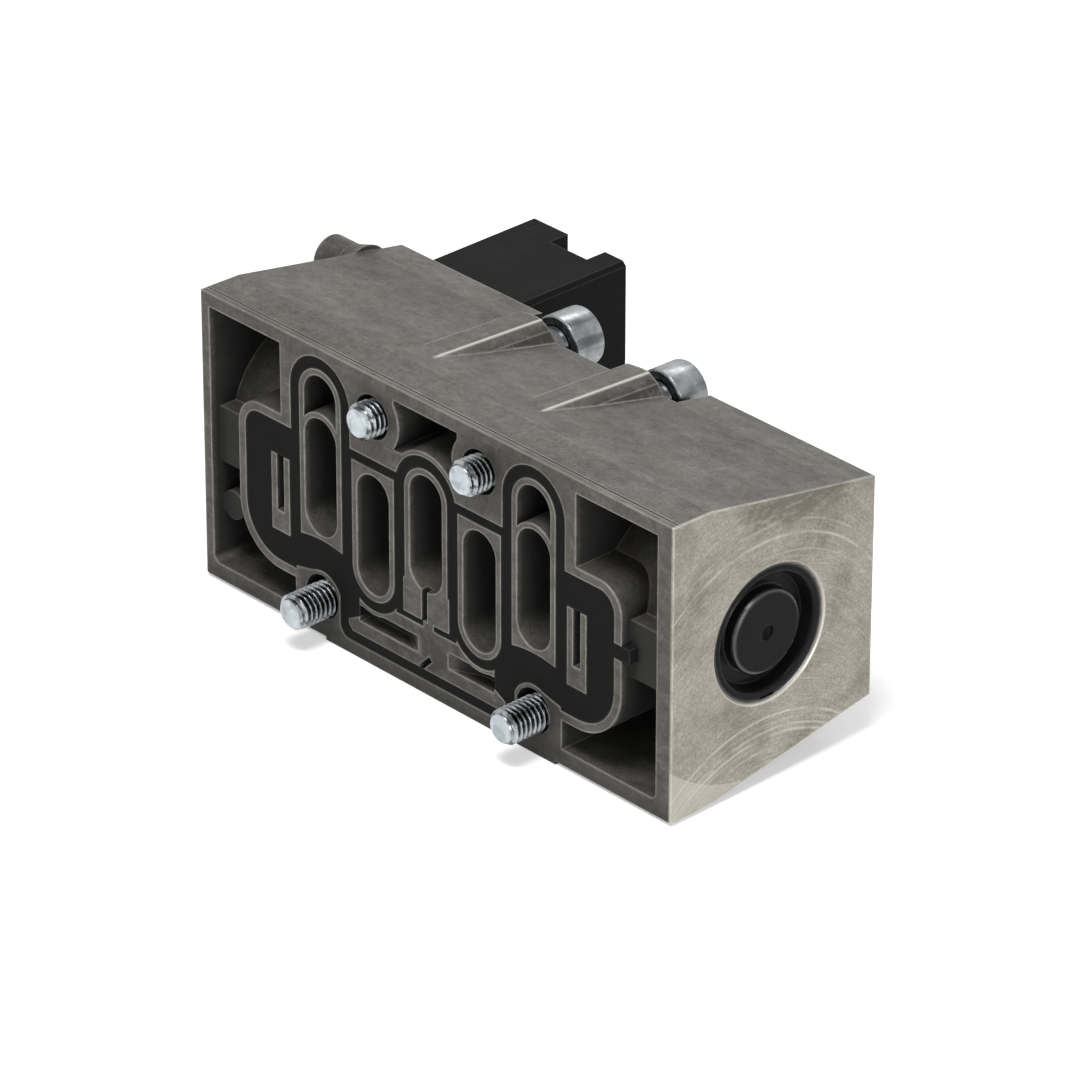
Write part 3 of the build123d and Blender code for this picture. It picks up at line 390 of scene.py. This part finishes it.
# the lines that the cutter left: where each meets the middle of the end, its width and its strength
cutter_lines = (
    (-19.0, 0.45, 0.8),
    (-20.7, 0.3, 0.35),
    (-22.2, 0.4, 0.7),
    (-23.6, 0.55, 0.9),
    (-24.8, 0.3, 0.5),
    (-26.4, 0.4, 0.6),
    (-28.3, 0.3, 0.3),
    (4.0, 0.3, 0.3),
    (9.5, 0.3, 0.3),
    (17.4, 0.35, 0.4),
    (21.3, 0.5, 0.8),
    (24.4, 0.35, 0.5),
    (26.6, 0.3, 0.3),
)


def cast_skin(tree, flat, x, y, z, soft, lean):
    """Colour, roughness and normal of a blasted die casting with handling marks, painted shade in its
    hollows, openings, lands and flanks, and painted highlights on its edges and crests
    """
    patches = noise(tree, flat, size=16, detail=5, rough=0.62, warp=0.8)
    rubs = noise(tree, place(tree, (0.3, 1, 1.6)), size=7, detail=6, rough=0.7, warp=0.4)
    grain = noise(tree, flat, size=0.55, detail=3, rough=0.7)
    pits = noise(tree, flat, size=1.5, detail=2, rough=0.5)
    brown = noise(tree, flat, size=9, detail=4, rough=0.6, warp=1.0)
    tone = maths(tree, "MULTIPLY_ADD", rubs, 0.5, product(tree, patches, 0.5))
    cast_middle = tuple((a + b) / 2 for a, b in zip(cast_dark, cast_light))
    skin = ramp(tree, tone, [(0.36, cast_dark), (0.5, cast_middle), (0.66, cast_light)])
    browned = blend_colour(tree, ramp(tree, brown, [(0.42, 0.0), (0.66, 0.5)]), skin, stain)
    blotches = noise(tree, flat, size=2.6, detail=4, rough=0.7, warp=0.5)
    blotchy = ramp(tree, blotches, [(0.32, 0.36), (0.68, 0.64)])
    tinted = blend_colour(tree, 0.9, browned, blotchy, "OVERLAY")
    grained = blend_colour(tree, 0.7, tinted, ramp(tree, grain, [(0.3, 0.28), (0.7, 0.72)]), "OVERLAY")
    pit_share = ramp(tree, pits, [(0.27, 0.6), (0.33, 0.0)])
    pitted = blend_colour(tree, pit_share, grained, tuple(0.45 * c for c in cast_dark))
    scuffs = noise(tree, place(tree, (0.12, 0.9, 1.2)), size=1.6, detail=3, rough=0.6, warp=0.5)
    scuff_share = ramp(tree, scuffs, [(0.63, 0.0), (0.7, 0.45)])
    scuffed_patches = ramp(tree, patches, [(0.45, 0.0), (0.6, 1.0)])
    scuffed = blend_colour(tree, product(tree, scuff_share, scuffed_patches), pitted, scuff_mark)

    # the skin is darker at the foot and smudged on the left boss, and painted shade lies on the lands and on
    # the flanks beside the crests of the upper bosses, growing toward the rear
    along_flank = graded(tree, y, top_length, [(0.36, 0.0), (0.6, 1.0), (0.93, 1.6)])
    at_flank = near_either(tree, x, flank_places, flank_reach)
    flanks = product(tree, at_flank, over(tree, z, flank_level), along_flank)
    foot = product(tree, near(tree, x, 0.0, foot_half_length), near(tree, z, foot_level, foot_reach))
    at_foot = product(tree, foot, under(tree, y, foot_depth))
    on_lands = product(tree, under(tree, y, land_top), 0.5)
    low_smudges_and_shade = maths(tree, "MULTIPLY_ADD", at_foot, 1.6, on_lands)
    front_smudges_and_shade = maths(tree, "ADD", under(tree, x, left_boss_end), low_smudges_and_shade)
    smudge_and_shade_places = maths(tree, "MULTIPLY_ADD", flanks, 1.3, front_smudges_and_shade)
    smudge_and_shade_noise = noise(tree, flat, size=5, detail=5, rough=0.7, warp=0.6)
    smudge_and_shade_patches = ramp(tree, smudge_and_shade_noise, [(0.35, 0.0), (0.6, 0.75)])
    smudge_and_shade_share = maths(tree, "MINIMUM", product(tree, smudge_and_shade_patches, smudge_and_shade_places), 0.85)
    smudged_and_shaded_skin = blend_colour(tree, smudge_and_shade_share, scuffed, smudge_and_shade_dark)

    # edges are rubbed bright with a painted highlight on them, and a line along the crest of each upper boss
    # is rubbed bright with a painted highlight
    rubbed_and_highlit_share = ramp(tree, lean, [(0.04, 0.0), (0.22, 1.0)])
    rubbed_and_highlit = product(tree, rubbed_and_highlit_share, ramp(tree, rubs, [(0.3, 0.4), (0.6, 0.9)]))
    edged = blend_colour(tree, rubbed_and_highlit, smudged_and_shaded_skin, worn_and_highlit_edge)
    along_crest = graded(tree, y, top_length, [(0.31, 0.0), (0.36, 1.0), (0.915, 1.0), (0.93, 0.0)])
    at_crest = near_either(tree, x, crest_places, crest_reach)
    crests = product(tree, at_crest, over(tree, z, crest_level), along_crest)
    lined = blend_colour(tree, product(tree, crests, 0.9), edged, crest_wear_and_highlight)

    # painted shade darkens corners and fills the openings of the port face, and is lighter on faces turned
    # up
    corner_share = ramp(tree, hollows(tree, narrow_hollow), [(0.4, 1.0), (0.93, 0.0)])
    low_share = ramp(tree, hollows(tree, wide_hollow), [(0.5, 1.0), (0.9, 0.0)])
    depth = graded(tree, y, painted_shade_depth, [(0.02, 0.0), (0.14, 1.0)])
    before_rear = under(tree, y, opening_depth)
    between_ends = under(tree, size_of(tree, x), opening_half_length)
    level = graded(tree, size_of(tree, z), opening_half_height, [(0.62, 0.95), (0.75, 0.0)])
    in_opening = product(tree, before_rear, between_ends, level)
    inside = product(tree, depth, larger(tree, low_share, in_opening), 0.92)
    shade_by_facing = ramp(tree, facing(tree)[2], [(0.0, 1.0), (0.6, 0.35)])
    painted_shade_share = product(tree, larger(tree, corner_share, inside), shade_by_facing)
    colour = blend_colour(tree, painted_shade_share, lined, painted_shade_colour)

    rough = blend_colour(tree, painted_shade_share, ramp(tree, tone, [(0.3, 0.62), (0.7, 0.48)]), painted_shade_rough)
    relief = maths(tree, "MULTIPLY_ADD", grain, 0.6, product(tree, pits, 0.6))
    return colour, rough, bump(tree, relief, cast_relief, soft)


def milled_end(tree, flat, y, z, soft, lean):
    """Colour, roughness and normal of the end face: broken arcs left by one wide cutter"""
    across = maths(tree, "SUBTRACT", y, cutter_middle)
    reach = maths(tree, "SQRT", maths(tree, "SUBTRACT", cutter_radius**2, product(tree, across, across)))
    arc = maths(tree, "SUBTRACT", maths(tree, "ADD", z, cutter_radius), reach)
    along = tree.nodes.new("ShaderNodeCombineXYZ")
    tree.links.new(arc, along.inputs["X"])
    tree.links.new(product(tree, across, cutter_weave), along.inputs["Y"])
    fine_arcs = noise(tree, along.outputs["Vector"], size=0.3, detail=2, rough=0.7)
    wide_arcs = noise(tree, along.outputs["Vector"], size=1.3, detail=4, rough=0.75)
    broken = noise(tree, place(tree, (1, 0.6, 1)), size=6, detail=3, rough=0.6, warp=0.4)
    lines = None
    for middle, width, strength in cutter_lines:
        line = product(tree, near(tree, arc, middle, width), strength)
        lines = line if lines is None else larger(tree, lines, line)
    broken_lines = product(tree, lines, ramp(tree, broken, [(0.36, 0.1), (0.58, 1.0)]))
    rough_arcs = ramp(tree, wide_arcs, [(0.55, 0.0), (0.66, 0.55)])
    broken_arcs = product(tree, rough_arcs, ramp(tree, broken, [(0.45, 0.0), (0.62, 1.0)]))
    streaks = larger(tree, broken_lines, broken_arcs)
    clouds = noise(tree, flat, size=12, detail=4, rough=0.62, warp=0.5)
    cloudy = ramp(tree, clouds, [(0.3, milled_dark), (0.52, milled_middle), (0.75, milled_light)])
    arced = blend_colour(tree, 0.55, cloudy, ramp(tree, fine_arcs, [(0.25, 0.3), (0.75, 0.7)]), "OVERLAY")
    flecks = noise(tree, flat, size=0.42, detail=2, rough=0.7)
    flecked = blend_colour(tree, 0.8, arced, ramp(tree, flecks, [(0.3, 0.32), (0.7, 0.68)]), "OVERLAY")
    streaked = blend_colour(tree, product(tree, streaks, 0.66), flecked, cutter_mark)

    # the brighter corner outside the last pass, and the dull smear near the top
    outside = over(tree, distance_from(tree, y, z, last_pass_middle), last_pass_radius)
    corner = product(tree, outside, under(tree, maths(tree, "ADD", z, y), corner_limit))
    with_corner = blend_colour(tree, product(tree, corner, 0.55), streaked, fresh_corner)
    mottle = noise(tree, place(tree, (1, 0.5, 1.4)), size=2.4, detail=5, rough=0.7)
    mottled = ramp(tree, mottle, [(0.38, 0.4), (0.6, 3.0)])
    at_smear = [near(tree, *spot) for spot in zip((y, z), smear_middle, smear_reach)]
    smear = maths(tree, "MINIMUM", product(tree, *at_smear, mottled), 0.85)
    smeared = blend_colour(tree, smear, with_corner, dull_smear)

    # bare metal on the burred edges, and a painted highlight on the bore's mouth toward the lower right
    burr = ramp(tree, lean, [(0.12, 0.0), (0.4, 0.85)])
    burr_share = product(tree, burr, ramp(tree, broken, [(0.35, 0.35), (0.6, 1.0)]))
    mouth = near(tree, distance_from(tree, y, z, bore_middle), mouth_radius, mouth_reach)
    from_bore = maths(tree, "SUBTRACT", y, bore_middle[0])
    low_side = maths(tree, "SUBTRACT", from_bore, product(tree, z, highlight_lean))
    mouth_highlight_place = maths(tree, "ADD", low_side, highlight_start)
    mouth_highlight_share = graded(tree, mouth_highlight_place, highlight_length, [(0.3, 0.0), (0.9, 0.85)])
    bare_and_highlit_share = larger(tree, burr_share, product(tree, mouth, mouth_highlight_share))
    colour = blend_colour(tree, bare_and_highlit_share, smeared, bare_edge_and_highlight)

    rough = maths(tree, "MULTIPLY_ADD", mouth, -0.22, maths(tree, "MULTIPLY_ADD", streaks, -0.12, 0.46))
    relief = maths(tree, "MULTIPLY_ADD", fine_arcs, 0.5, product(tree, wide_arcs, 0.7))
    return colour, rough, bump(tree, relief, milled_relief, soft)


def cast_aluminium(name):
    """Die casting with its milled right end"""
    material, tree, shader = new_material(name)
    flat = place(tree)
    x, y, z = split(tree, flat)
    soft = rounded(tree, cast_round_off)
    lean = leaning(tree, soft)
    skin_colour, skin_rough, skin_normal = cast_skin(tree, flat, x, y, z, soft, lean)
    end_colour, end_rough, end_normal = milled_end(tree, flat, y, z, soft, lean)
    at_end = over(tree, x, milled_start)
    tree.links.new(blend_colour(tree, at_end, skin_colour, end_colour), shader.inputs["Base Color"])
    tree.links.new(blend_colour(tree, at_end, skin_rough, end_rough), shader.inputs["Roughness"])
    tree.links.new(blend_normal(tree, at_end, skin_normal, end_normal), shader.inputs["Normal"])
    shader.inputs["Metallic"].default_value = cast_metallic
    return material


# Other metals, plastics and rubber

# the colour of the painted highlight on the points of the screws, and of dust
point_highlight, dust_colour = (0.54, 0.6, 0.64), (0.12, 0.115, 0.1)
square_on, metal_hollow, metal_marks = 0.97, 1.5, 0.015
# dust pales the plastic, and a painted sheen lightens the colour of its edges
dust_lift, edge_sheen_lift = 0.03, 0.036


def bare_metal(name, colour, rough, grain=0.25, round_off=0.2, metallic=1.0, hollow_shade=0.0, reflection_bands=0.0):
    """Plated or drawn metal with fine handling marks and painted shade in its corners. The reflection bands
    are painted dark reflections in stretches along Y, and come with a painted highlight on faces square to
    Y, such as the points of the screws."""
    material, tree, shader = new_material(name)
    vector = place(tree)
    marks = noise(tree, vector, size=1.3, detail=4, rough=0.7)
    haze = noise(tree, vector, size=4, detail=4, rough=0.65, warp=0.4)
    low = tuple((1 - grain) * c for c in colour)
    high = tuple(min(1, (1 + 0.4 * grain) * c) for c in colour)
    tinted = ramp(tree, haze, [(0.35, low), (0.65, high)])
    # painted shade in the hollows, such as the valleys of the threads
    if hollow_shade:
        unshaded = ramp(tree, hollows(tree, metal_hollow), [(0.45, 1 - hollow_shade), (0.8, 1.0)])
        tinted = blend_colour(tree, 1.0, tinted, unshaded, "MULTIPLY")
    # painted dark reflections in stretches along Y, and a painted highlight on faces square to Y
    if reflection_bands:
        reflection_noise = noise(tree, place(tree, (1, 0.1, 1)), size=2.4, detail=2, rough=0.5)
        dulled = ramp(tree, reflection_noise, [(0.4, 1 - reflection_bands), (0.47, 0.75), (0.55, 1.0)])
        square_to_y = over(tree, size_of(tree, facing(tree)[1]), square_on)
        reflection_banded_metal = blend_colour(tree, 1.0, tinted, dulled, "MULTIPLY")
        highlit_point_metal = blend_colour(tree, 0.55, reflection_banded_metal, point_highlight)
        tinted = blend_colour(tree, square_to_y, reflection_banded_metal, highlit_point_metal)
    roughness = ramp(tree, marks, [(0.3, max(0.05, rough - 0.08)), (0.7, rough + 0.12)])
    tree.links.new(tinted, shader.inputs["Base Color"])
    tree.links.new(roughness, shader.inputs["Roughness"])
    tree.links.new(bump(tree, marks, metal_marks, rounded(tree, round_off)), shader.inputs["Normal"])
    shader.inputs["Metallic"].default_value = metallic
    return material


def moulded(
    name,
    colour,
    rough,
    gloss=0.05,
    grain=0.02,
    round_off=0.3,
    grain_size=0.35,
    dust=0.25,
    edge_gloss_and_sheen=0.6,
    ring=None,
):
    """Moulded plastic or rubber: fine grain, a little dust and softened edges, rubbed glossier and lighter
    in colour with a painted sheen. A ring is polished round the bore's middle, given as its radius and its
    reach."""
    material, tree, shader = new_material(name)
    vector = place(tree)
    fine = noise(tree, vector, size=grain_size, detail=3, rough=0.6)
    dusty = noise(tree, vector, size=11, detail=5, rough=0.65, warp=0.4)
    specks = noise(tree, vector, size=0.8, detail=2, rough=0.5)
    specked = product(tree, ramp(tree, specks, [(0.7, 0.0), (0.76, 0.5)]), dust)
    pale = tuple(c + dust_lift * dust for c in colour)
    dulled = ramp(tree, dusty, [(0.35, colour), (0.75, pale)])
    coloured = blend_colour(tree, specked, dulled, dust_colour)
    soft = rounded(tree, round_off)
    rubbed_and_highlit = ramp(tree, leaning(tree, soft), [(0.05, 0.0), (0.3, 0.6)])
    # edges get a painted sheen: their colour is lifted where they lean, beside their real gloss
    edge = tuple(c + edge_sheen_lift * edge_gloss_and_sheen for c in colour)
    roughness = ramp(tree, dusty, [(0.3, rough), (0.75, min(1, rough + 0.15))])
    polish = maths(tree, "MULTIPLY_ADD", rubbed_and_highlit, edge_gloss_and_sheen, gloss)
    if ring:
        radius = distance_from(tree, *split(tree, vector)[1:], bore_middle)
        polish = maths(tree, "ADD", polish, near(tree, radius, *ring))
    tree.links.new(blend_colour(tree, rubbed_and_highlit, coloured, edge), shader.inputs["Base Color"])
    tree.links.new(roughness, shader.inputs["Roughness"])
    tree.links.new(bump(tree, fine, grain, soft), shader.inputs["Normal"])
    tree.links.new(polish, shader.inputs["Specular IOR Level"])
    shader.inputs["Metallic"].default_value = 0.0
    return material


casting = cast_aluminium("cast aluminium with a milled end")
zinc = bare_metal(
    "bright zinc plate", (0.46, 0.49, 0.505), 0.18, grain=0.45, round_off=0.12, hollow_shade=0.93, reflection_bands=0.75
)
zinc_head = bare_metal(
    "satin zinc head", (0.3, 0.312, 0.318), 0.29, grain=0.3, round_off=0.3, hollow_shade=0.9, reflection_bands=0.5
)
# a darker copy of the zinc whose darkness is painted shade, for the shank between boss and head
shaded_zinc_shank = bare_metal("zinc shank with painted shade", (0.14, 0.145, 0.15), 0.2, grain=0.4, round_off=0.12, hollow_shade=0.9)
turned_alloy = bare_metal("turned aluminium", (0.60, 0.60, 0.61), 0.3, grain=0.15)
spring_steel = bare_metal("spring steel", (0.36, 0.36, 0.37), 0.32, grain=0.2, round_off=0.1)
black_wire = bare_metal(
    "blackened ring wire", (0.012, 0.012, 0.013), 0.5, grain=0.3, round_off=0.15, metallic=0.3
)
yoke_steel = bare_metal("yoke steel", (0.32, 0.32, 0.32), 0.4)
tube_steel = bare_metal("drawn stainless tube", (0.52, 0.52, 0.51), 0.24, grain=0.15, round_off=0.15)
brass = bare_metal("turned brass", (0.55, 0.40, 0.17), 0.28, round_off=0.15)
tinned = bare_metal("tinned blade", (0.58, 0.58, 0.56), 0.3, grain=0.2, round_off=0.1)
copper = bare_metal("enamelled winding wire", (0.45, 0.16, 0.06), 0.3, grain=0.3, round_off=0.1)
seal_rubber = moulded(
    "moulded gasket rubber",
    (0.0105, 0.0105, 0.0102),
    0.65,
    gloss=0.04,
    round_off=0.4,
    grain_size=0.3,
    dust=0.15,
)
plug_plastic = moulded(
    "gloss black plug moulding",
    (0.006, 0.006, 0.0065),
    0.2,
    gloss=0.06,
    grain=0.006,
    round_off=0.5,
    grain_size=0.5,
    dust=0.06,
    edge_gloss_and_sheen=0.12,
    ring=(9.0, 0.6),
)
coil_plastic = moulded(
    "black coil moulding", (0.006, 0.006, 0.0062), 0.5, grain=0.03, round_off=0.35, grain_size=0.3, dust=0.08
)
bobbin_plastic = moulded("bobbin moulding", (0.05, 0.05, 0.05), 0.45, gloss=0.3, round_off=0.2)

finishes = {
    "valve_body": casting,
    "interface_gasket": seal_rubber,
    "upper_left_screw": zinc,
    "upper_right_screw": zinc,
    "lower_left_screw": zinc,
    "lower_right_screw": zinc,
    "spool": turned_alloy,
    "spool_seals": seal_rubber,
    "pilot_piston": bobbin_plastic,
    "piston_seal": seal_rubber,
    "return_spring": spring_steel,
    "right_end_plug": plug_plastic,
    "left_end_plug": plug_plastic,
    "right_plug_seal": seal_rubber,
    "left_plug_seal": seal_rubber,
    "right_retaining_ring": black_wire,
    "left_retaining_ring": black_wire,
    "pilot_gasket": seal_rubber,
    "pilot_body": coil_plastic,
    "valve_seat": brass,
    "override_button": brass,
    "override_seal": seal_rubber,
    "override_spring": spring_steel,
    "armature_tube": tube_steel,
    "tube_seal": seal_rubber,
    "plunger": tube_steel,
    "plunger_seal": seal_rubber,
    "plunger_spring": spring_steel,
    "magnet_yoke": yoke_steel,
    "coil_bobbin": bobbin_plastic,
    "coil_winding": copper,
    "pilot_housing": coil_plastic,
    "terminal_blades": tinned,
    "tube_nut": zinc_head,
    "pilot_screws": zinc_head,
}
for node, finish_of_node in finishes.items():
    nodes[node].data.materials.clear()
    nodes[node].data.materials.append(finish_of_node)


# Mounting screws with their rolled threads, in place of the plain ones. Lengths are in
# millimetres, and heights are measured from the point.

thread_pitch, thread_turns, thread_length, thread_run_out = 1.25, 25, 28.0, 2.5
thread_root, thread_crest, point_radius, shank_radius = 3.235, 3.98, 3.05, 4.0
thread_start = -1.3
thread_form = (
    (thread_root, 0.0),
    (thread_root, 0.2),
    (thread_crest, 0.64),
    (thread_crest, 0.8),
    (thread_root, thread_pitch),
)
shank_length, head_radius, head_height, socket_half_width = 55.0, 6.5, 8.0, 3.0
head_top = shank_length + head_height
shank_and_head = (
    (shank_radius, thread_length),
    (shank_radius, shank_length - 0.5),
    (shank_radius + 0.15, shank_length - 0.12),
    (shank_radius + 0.5, shank_length),
    (head_radius - 0.35, shank_length),
    (head_radius, shank_length + 0.3),
    (head_radius, head_top - 0.6),
    (head_radius - 0.17, head_top - 0.2),
    (head_radius - 0.6, head_top),
    (socket_half_width + 0.6, head_top),
    (socket_half_width, head_top - 0.35),
    (0.0, head_top - 0.35),
)
socket_cutter_length, socket_cutter_middle = 5, shank_length + 6.5
head_slot, shaded_shank_slot = 1, 2


def cap_screw(node, point, droop, spin):
    """A socket screw with its point at that place in millimetres, its head drooping by so many degrees"""
    first_round = [(radius, height + thread_start) for radius, height in thread_form]
    thread = turned(first_round, thread_pitch, thread_turns)
    # the thread narrows to the point, runs out into the shank, and is cut flat at both ends
    for vertex in thread.data.vertices:
        radius = vertex.co.xy.length / MM
        height = min(max(vertex.co.z / MM, 0.0), thread_length)
        wanted = min(radius, point_radius + height)
        fade = (height - thread_length + thread_run_out) / thread_run_out
        if fade > 0:
            wanted = max(wanted, thread_root + (shank_radius - thread_root) * fade)
        vertex.co.xy *= wanted / radius
        vertex.co.z = height * MM
    rest = turned(shank_and_head)
    deselect()
    rest.select_set(True)
    thread.select_set(True)
    bpy.context.view_layer.objects.active = thread
    bpy.ops.object.join()
    weld(thread)
    close_ends(thread)
    deselect()
    bpy.ops.mesh.primitive_cylinder_add(
        vertices=6,
        radius=socket_half_width * MM / math.cos(math.pi / 6),
        depth=socket_cutter_length * MM,
        location=(0, 0, socket_cutter_middle * MM),
    )
    cut(thread, bpy.context.active_object)
    lean = math.radians(droop)
    along = Vector((0, math.cos(lean), -math.sin(lean)))
    side = Vector((1, 0, 0))
    screw_turn = Matrix((side, along.cross(side), along)).transposed().to_4x4()
    screw_spin = Matrix.Rotation(math.radians(spin), 4, "Z")
    thread.matrix_world = Matrix.Translation(Vector(point) * MM) @ screw_turn @ screw_spin
    finish(thread, node + "_threaded", zinc, "valve")
    weld(thread, 0.001)
    thread.data.materials.append(zinc_head)
    thread.data.materials.append(shaded_zinc_shank)
    # the plain shank takes the zinc with painted shade, the head its own zinc
    for polygon in thread.data.polygons:
        height = (polygon.center / MM - Vector(point)).dot(along)
        if height > shank_length - 0.05:
            polygon.material_index = head_slot
        elif height > thread_length:
            polygon.material_index = shaded_shank_slot
    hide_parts(node)


for node, x, z, tip, droop, spin in (
    ("upper_left_screw", -16.0, 23.9, -4.1, 1.55, 20),
    ("upper_right_screw", 16.0, 23.9, -5.2, 1.55, 140),
    ("lower_left_screw", -32.0, -24.8, -9.0, 0.0, 75),
    ("lower_right_screw", 32.0, -24.8, -9.0, 0.0, 200),
):
    turn = math.radians(droop)
    cap_screw(node, (x, tip * math.cos(turn), z - tip * math.sin(turn)), droop, spin)


# Springs of round wire

wire_sides, coil_steps = 10, 24


def wound_spring(node, axis, radius, wire_radius, turns):
    """A spring of round wire in the node's place and along the axis, with its radii in millimetres"""
    low, high = (Vector(corner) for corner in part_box(node))
    along = Vector(axis)
    length = (high - low).dot(along) / MM
    foot = (low + high) / 2 - along * length * MM / 2
    deselect()
    bpy.ops.mesh.primitive_circle_add(
        vertices=wire_sides,
        radius=wire_radius * MM,
        location=(radius * MM, 0, wire_radius * MM),
        rotation=(math.pi / 2, 0, 0),
    )
    coil = bpy.context.active_object
    bpy.ops.object.transform_apply(location=True, rotation=True, scale=True)
    wind(coil, coil_steps, (length - 2 * wire_radius) / turns, turns)
    close_ends(coil)
    weld(coil)
    coil.matrix_world = Matrix.Translation(foot) @ along.to_track_quat("Z", "Y").to_matrix().to_4x4()
    finish(coil, node + "_wound", spring_steel, "valve")
    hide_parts(node)
    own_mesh(coil)


wound_spring("return_spring", (1, 0, 0), 6.9, 0.65, 6)
wound_spring("plunger_spring", (0, 1, 0), 1.6, 0.25, 5)
wound_spring("override_spring", (0, 0, 1), 0.95, 0.2, 4)


# Camera, in the place that was solved from the photo

camera_place, camera_lens, camera_sensor = (0.96121, -0.86379, 0.71083), 243.13, 36
camera_forward = Vector((-0.64157, 0.59762, -0.48088)).normalized()
camera_up = Vector((0.68105, 0.73207, 0.00105)).cross(camera_forward).normalized()
camera_right = camera_forward.cross(camera_up)
camera_turn = Matrix((camera_right, camera_up, -camera_forward)).transposed()
camera = bpy.data.objects.new("camera", bpy.data.cameras.new("camera"))
bpy.context.scene.collection.objects.link(camera)
camera.data.sensor_width = camera_sensor
camera.data.lens = camera_lens
camera.data.clip_start, camera.data.clip_end = 0.05, 20
camera.matrix_world = Matrix.Translation(camera_place) @ camera_turn.to_4x4()
bpy.context.scene.camera = camera


# Lamps, white surroundings and floor

lit_place = (0.0, 0.02, 0.0)
for lamp_name, position, width, height, power in (
    ("overhead softbox", (0.15, -0.3, 1.08), 0.45, 0.35, 9.5),
    ("side softbox", (1.25, -0.35, 0.35), 0.6, 0.6, 7.5),
    ("front fill", (-0.35, -1.2, 0.35), 1.1, 0.9, 1.1),
    ("back rim", (-0.5, 0.9, 0.8), 0.5, 0.4, 2.2),
):
    lamp = bpy.data.lights.new(lamp_name, "AREA")
    lamp.shape = "RECTANGLE"
    lamp.size, lamp.size_y = width, height
    lamp.energy = power
    lamp_object = bpy.data.objects.new(lamp_name, lamp)
    bpy.context.scene.collection.objects.link(lamp_object)
    lamp_object.location = position
    aim = Vector(lit_place) - Vector(position)
    lamp_object.rotation_euler = aim.to_track_quat("-Z", "Y").to_euler()

white, world_light = (1, 1, 1, 1), 0.22
world = bpy.data.worlds.new("white studio")
bpy.context.scene.world = world
world.use_nodes = True
tree = world.node_tree
tree.nodes.clear()
output = tree.nodes.new("ShaderNodeOutputWorld")
background = tree.nodes.new("ShaderNodeBackground")
background.inputs["Color"].default_value = white
strength = maths(tree, "MULTIPLY_ADD", seen_directly(tree), 1 - world_light, world_light)
tree.links.new(strength, background.inputs["Strength"])
tree.links.new(background.outputs["Background"], output.inputs["Surface"])

floor_width, floor_colour, floor_glow = 6, (0.86, 0.86, 0.86, 1), 0.42
deselect()
bpy.ops.mesh.primitive_plane_add(size=floor_width, location=(0, 0, cad_box[0].z))
floor = bpy.context.active_object
floor.name = "studio_floor"
floor_material, tree, shader = new_material("white studio floor")
shader.inputs["Base Color"].default_value = floor_colour
shader.inputs["Roughness"].default_value = 0.9
shader.inputs["Specular IOR Level"].default_value = 0.1
shader.inputs["Emission Color"].default_value = white
glow = product(tree, seen_directly(tree), floor_glow)
tree.links.new(glow, shader.inputs["Emission Strength"])
floor.data.materials.append(floor_material)

scene = bpy.context.scene
scene.view_settings.view_transform = "Standard"
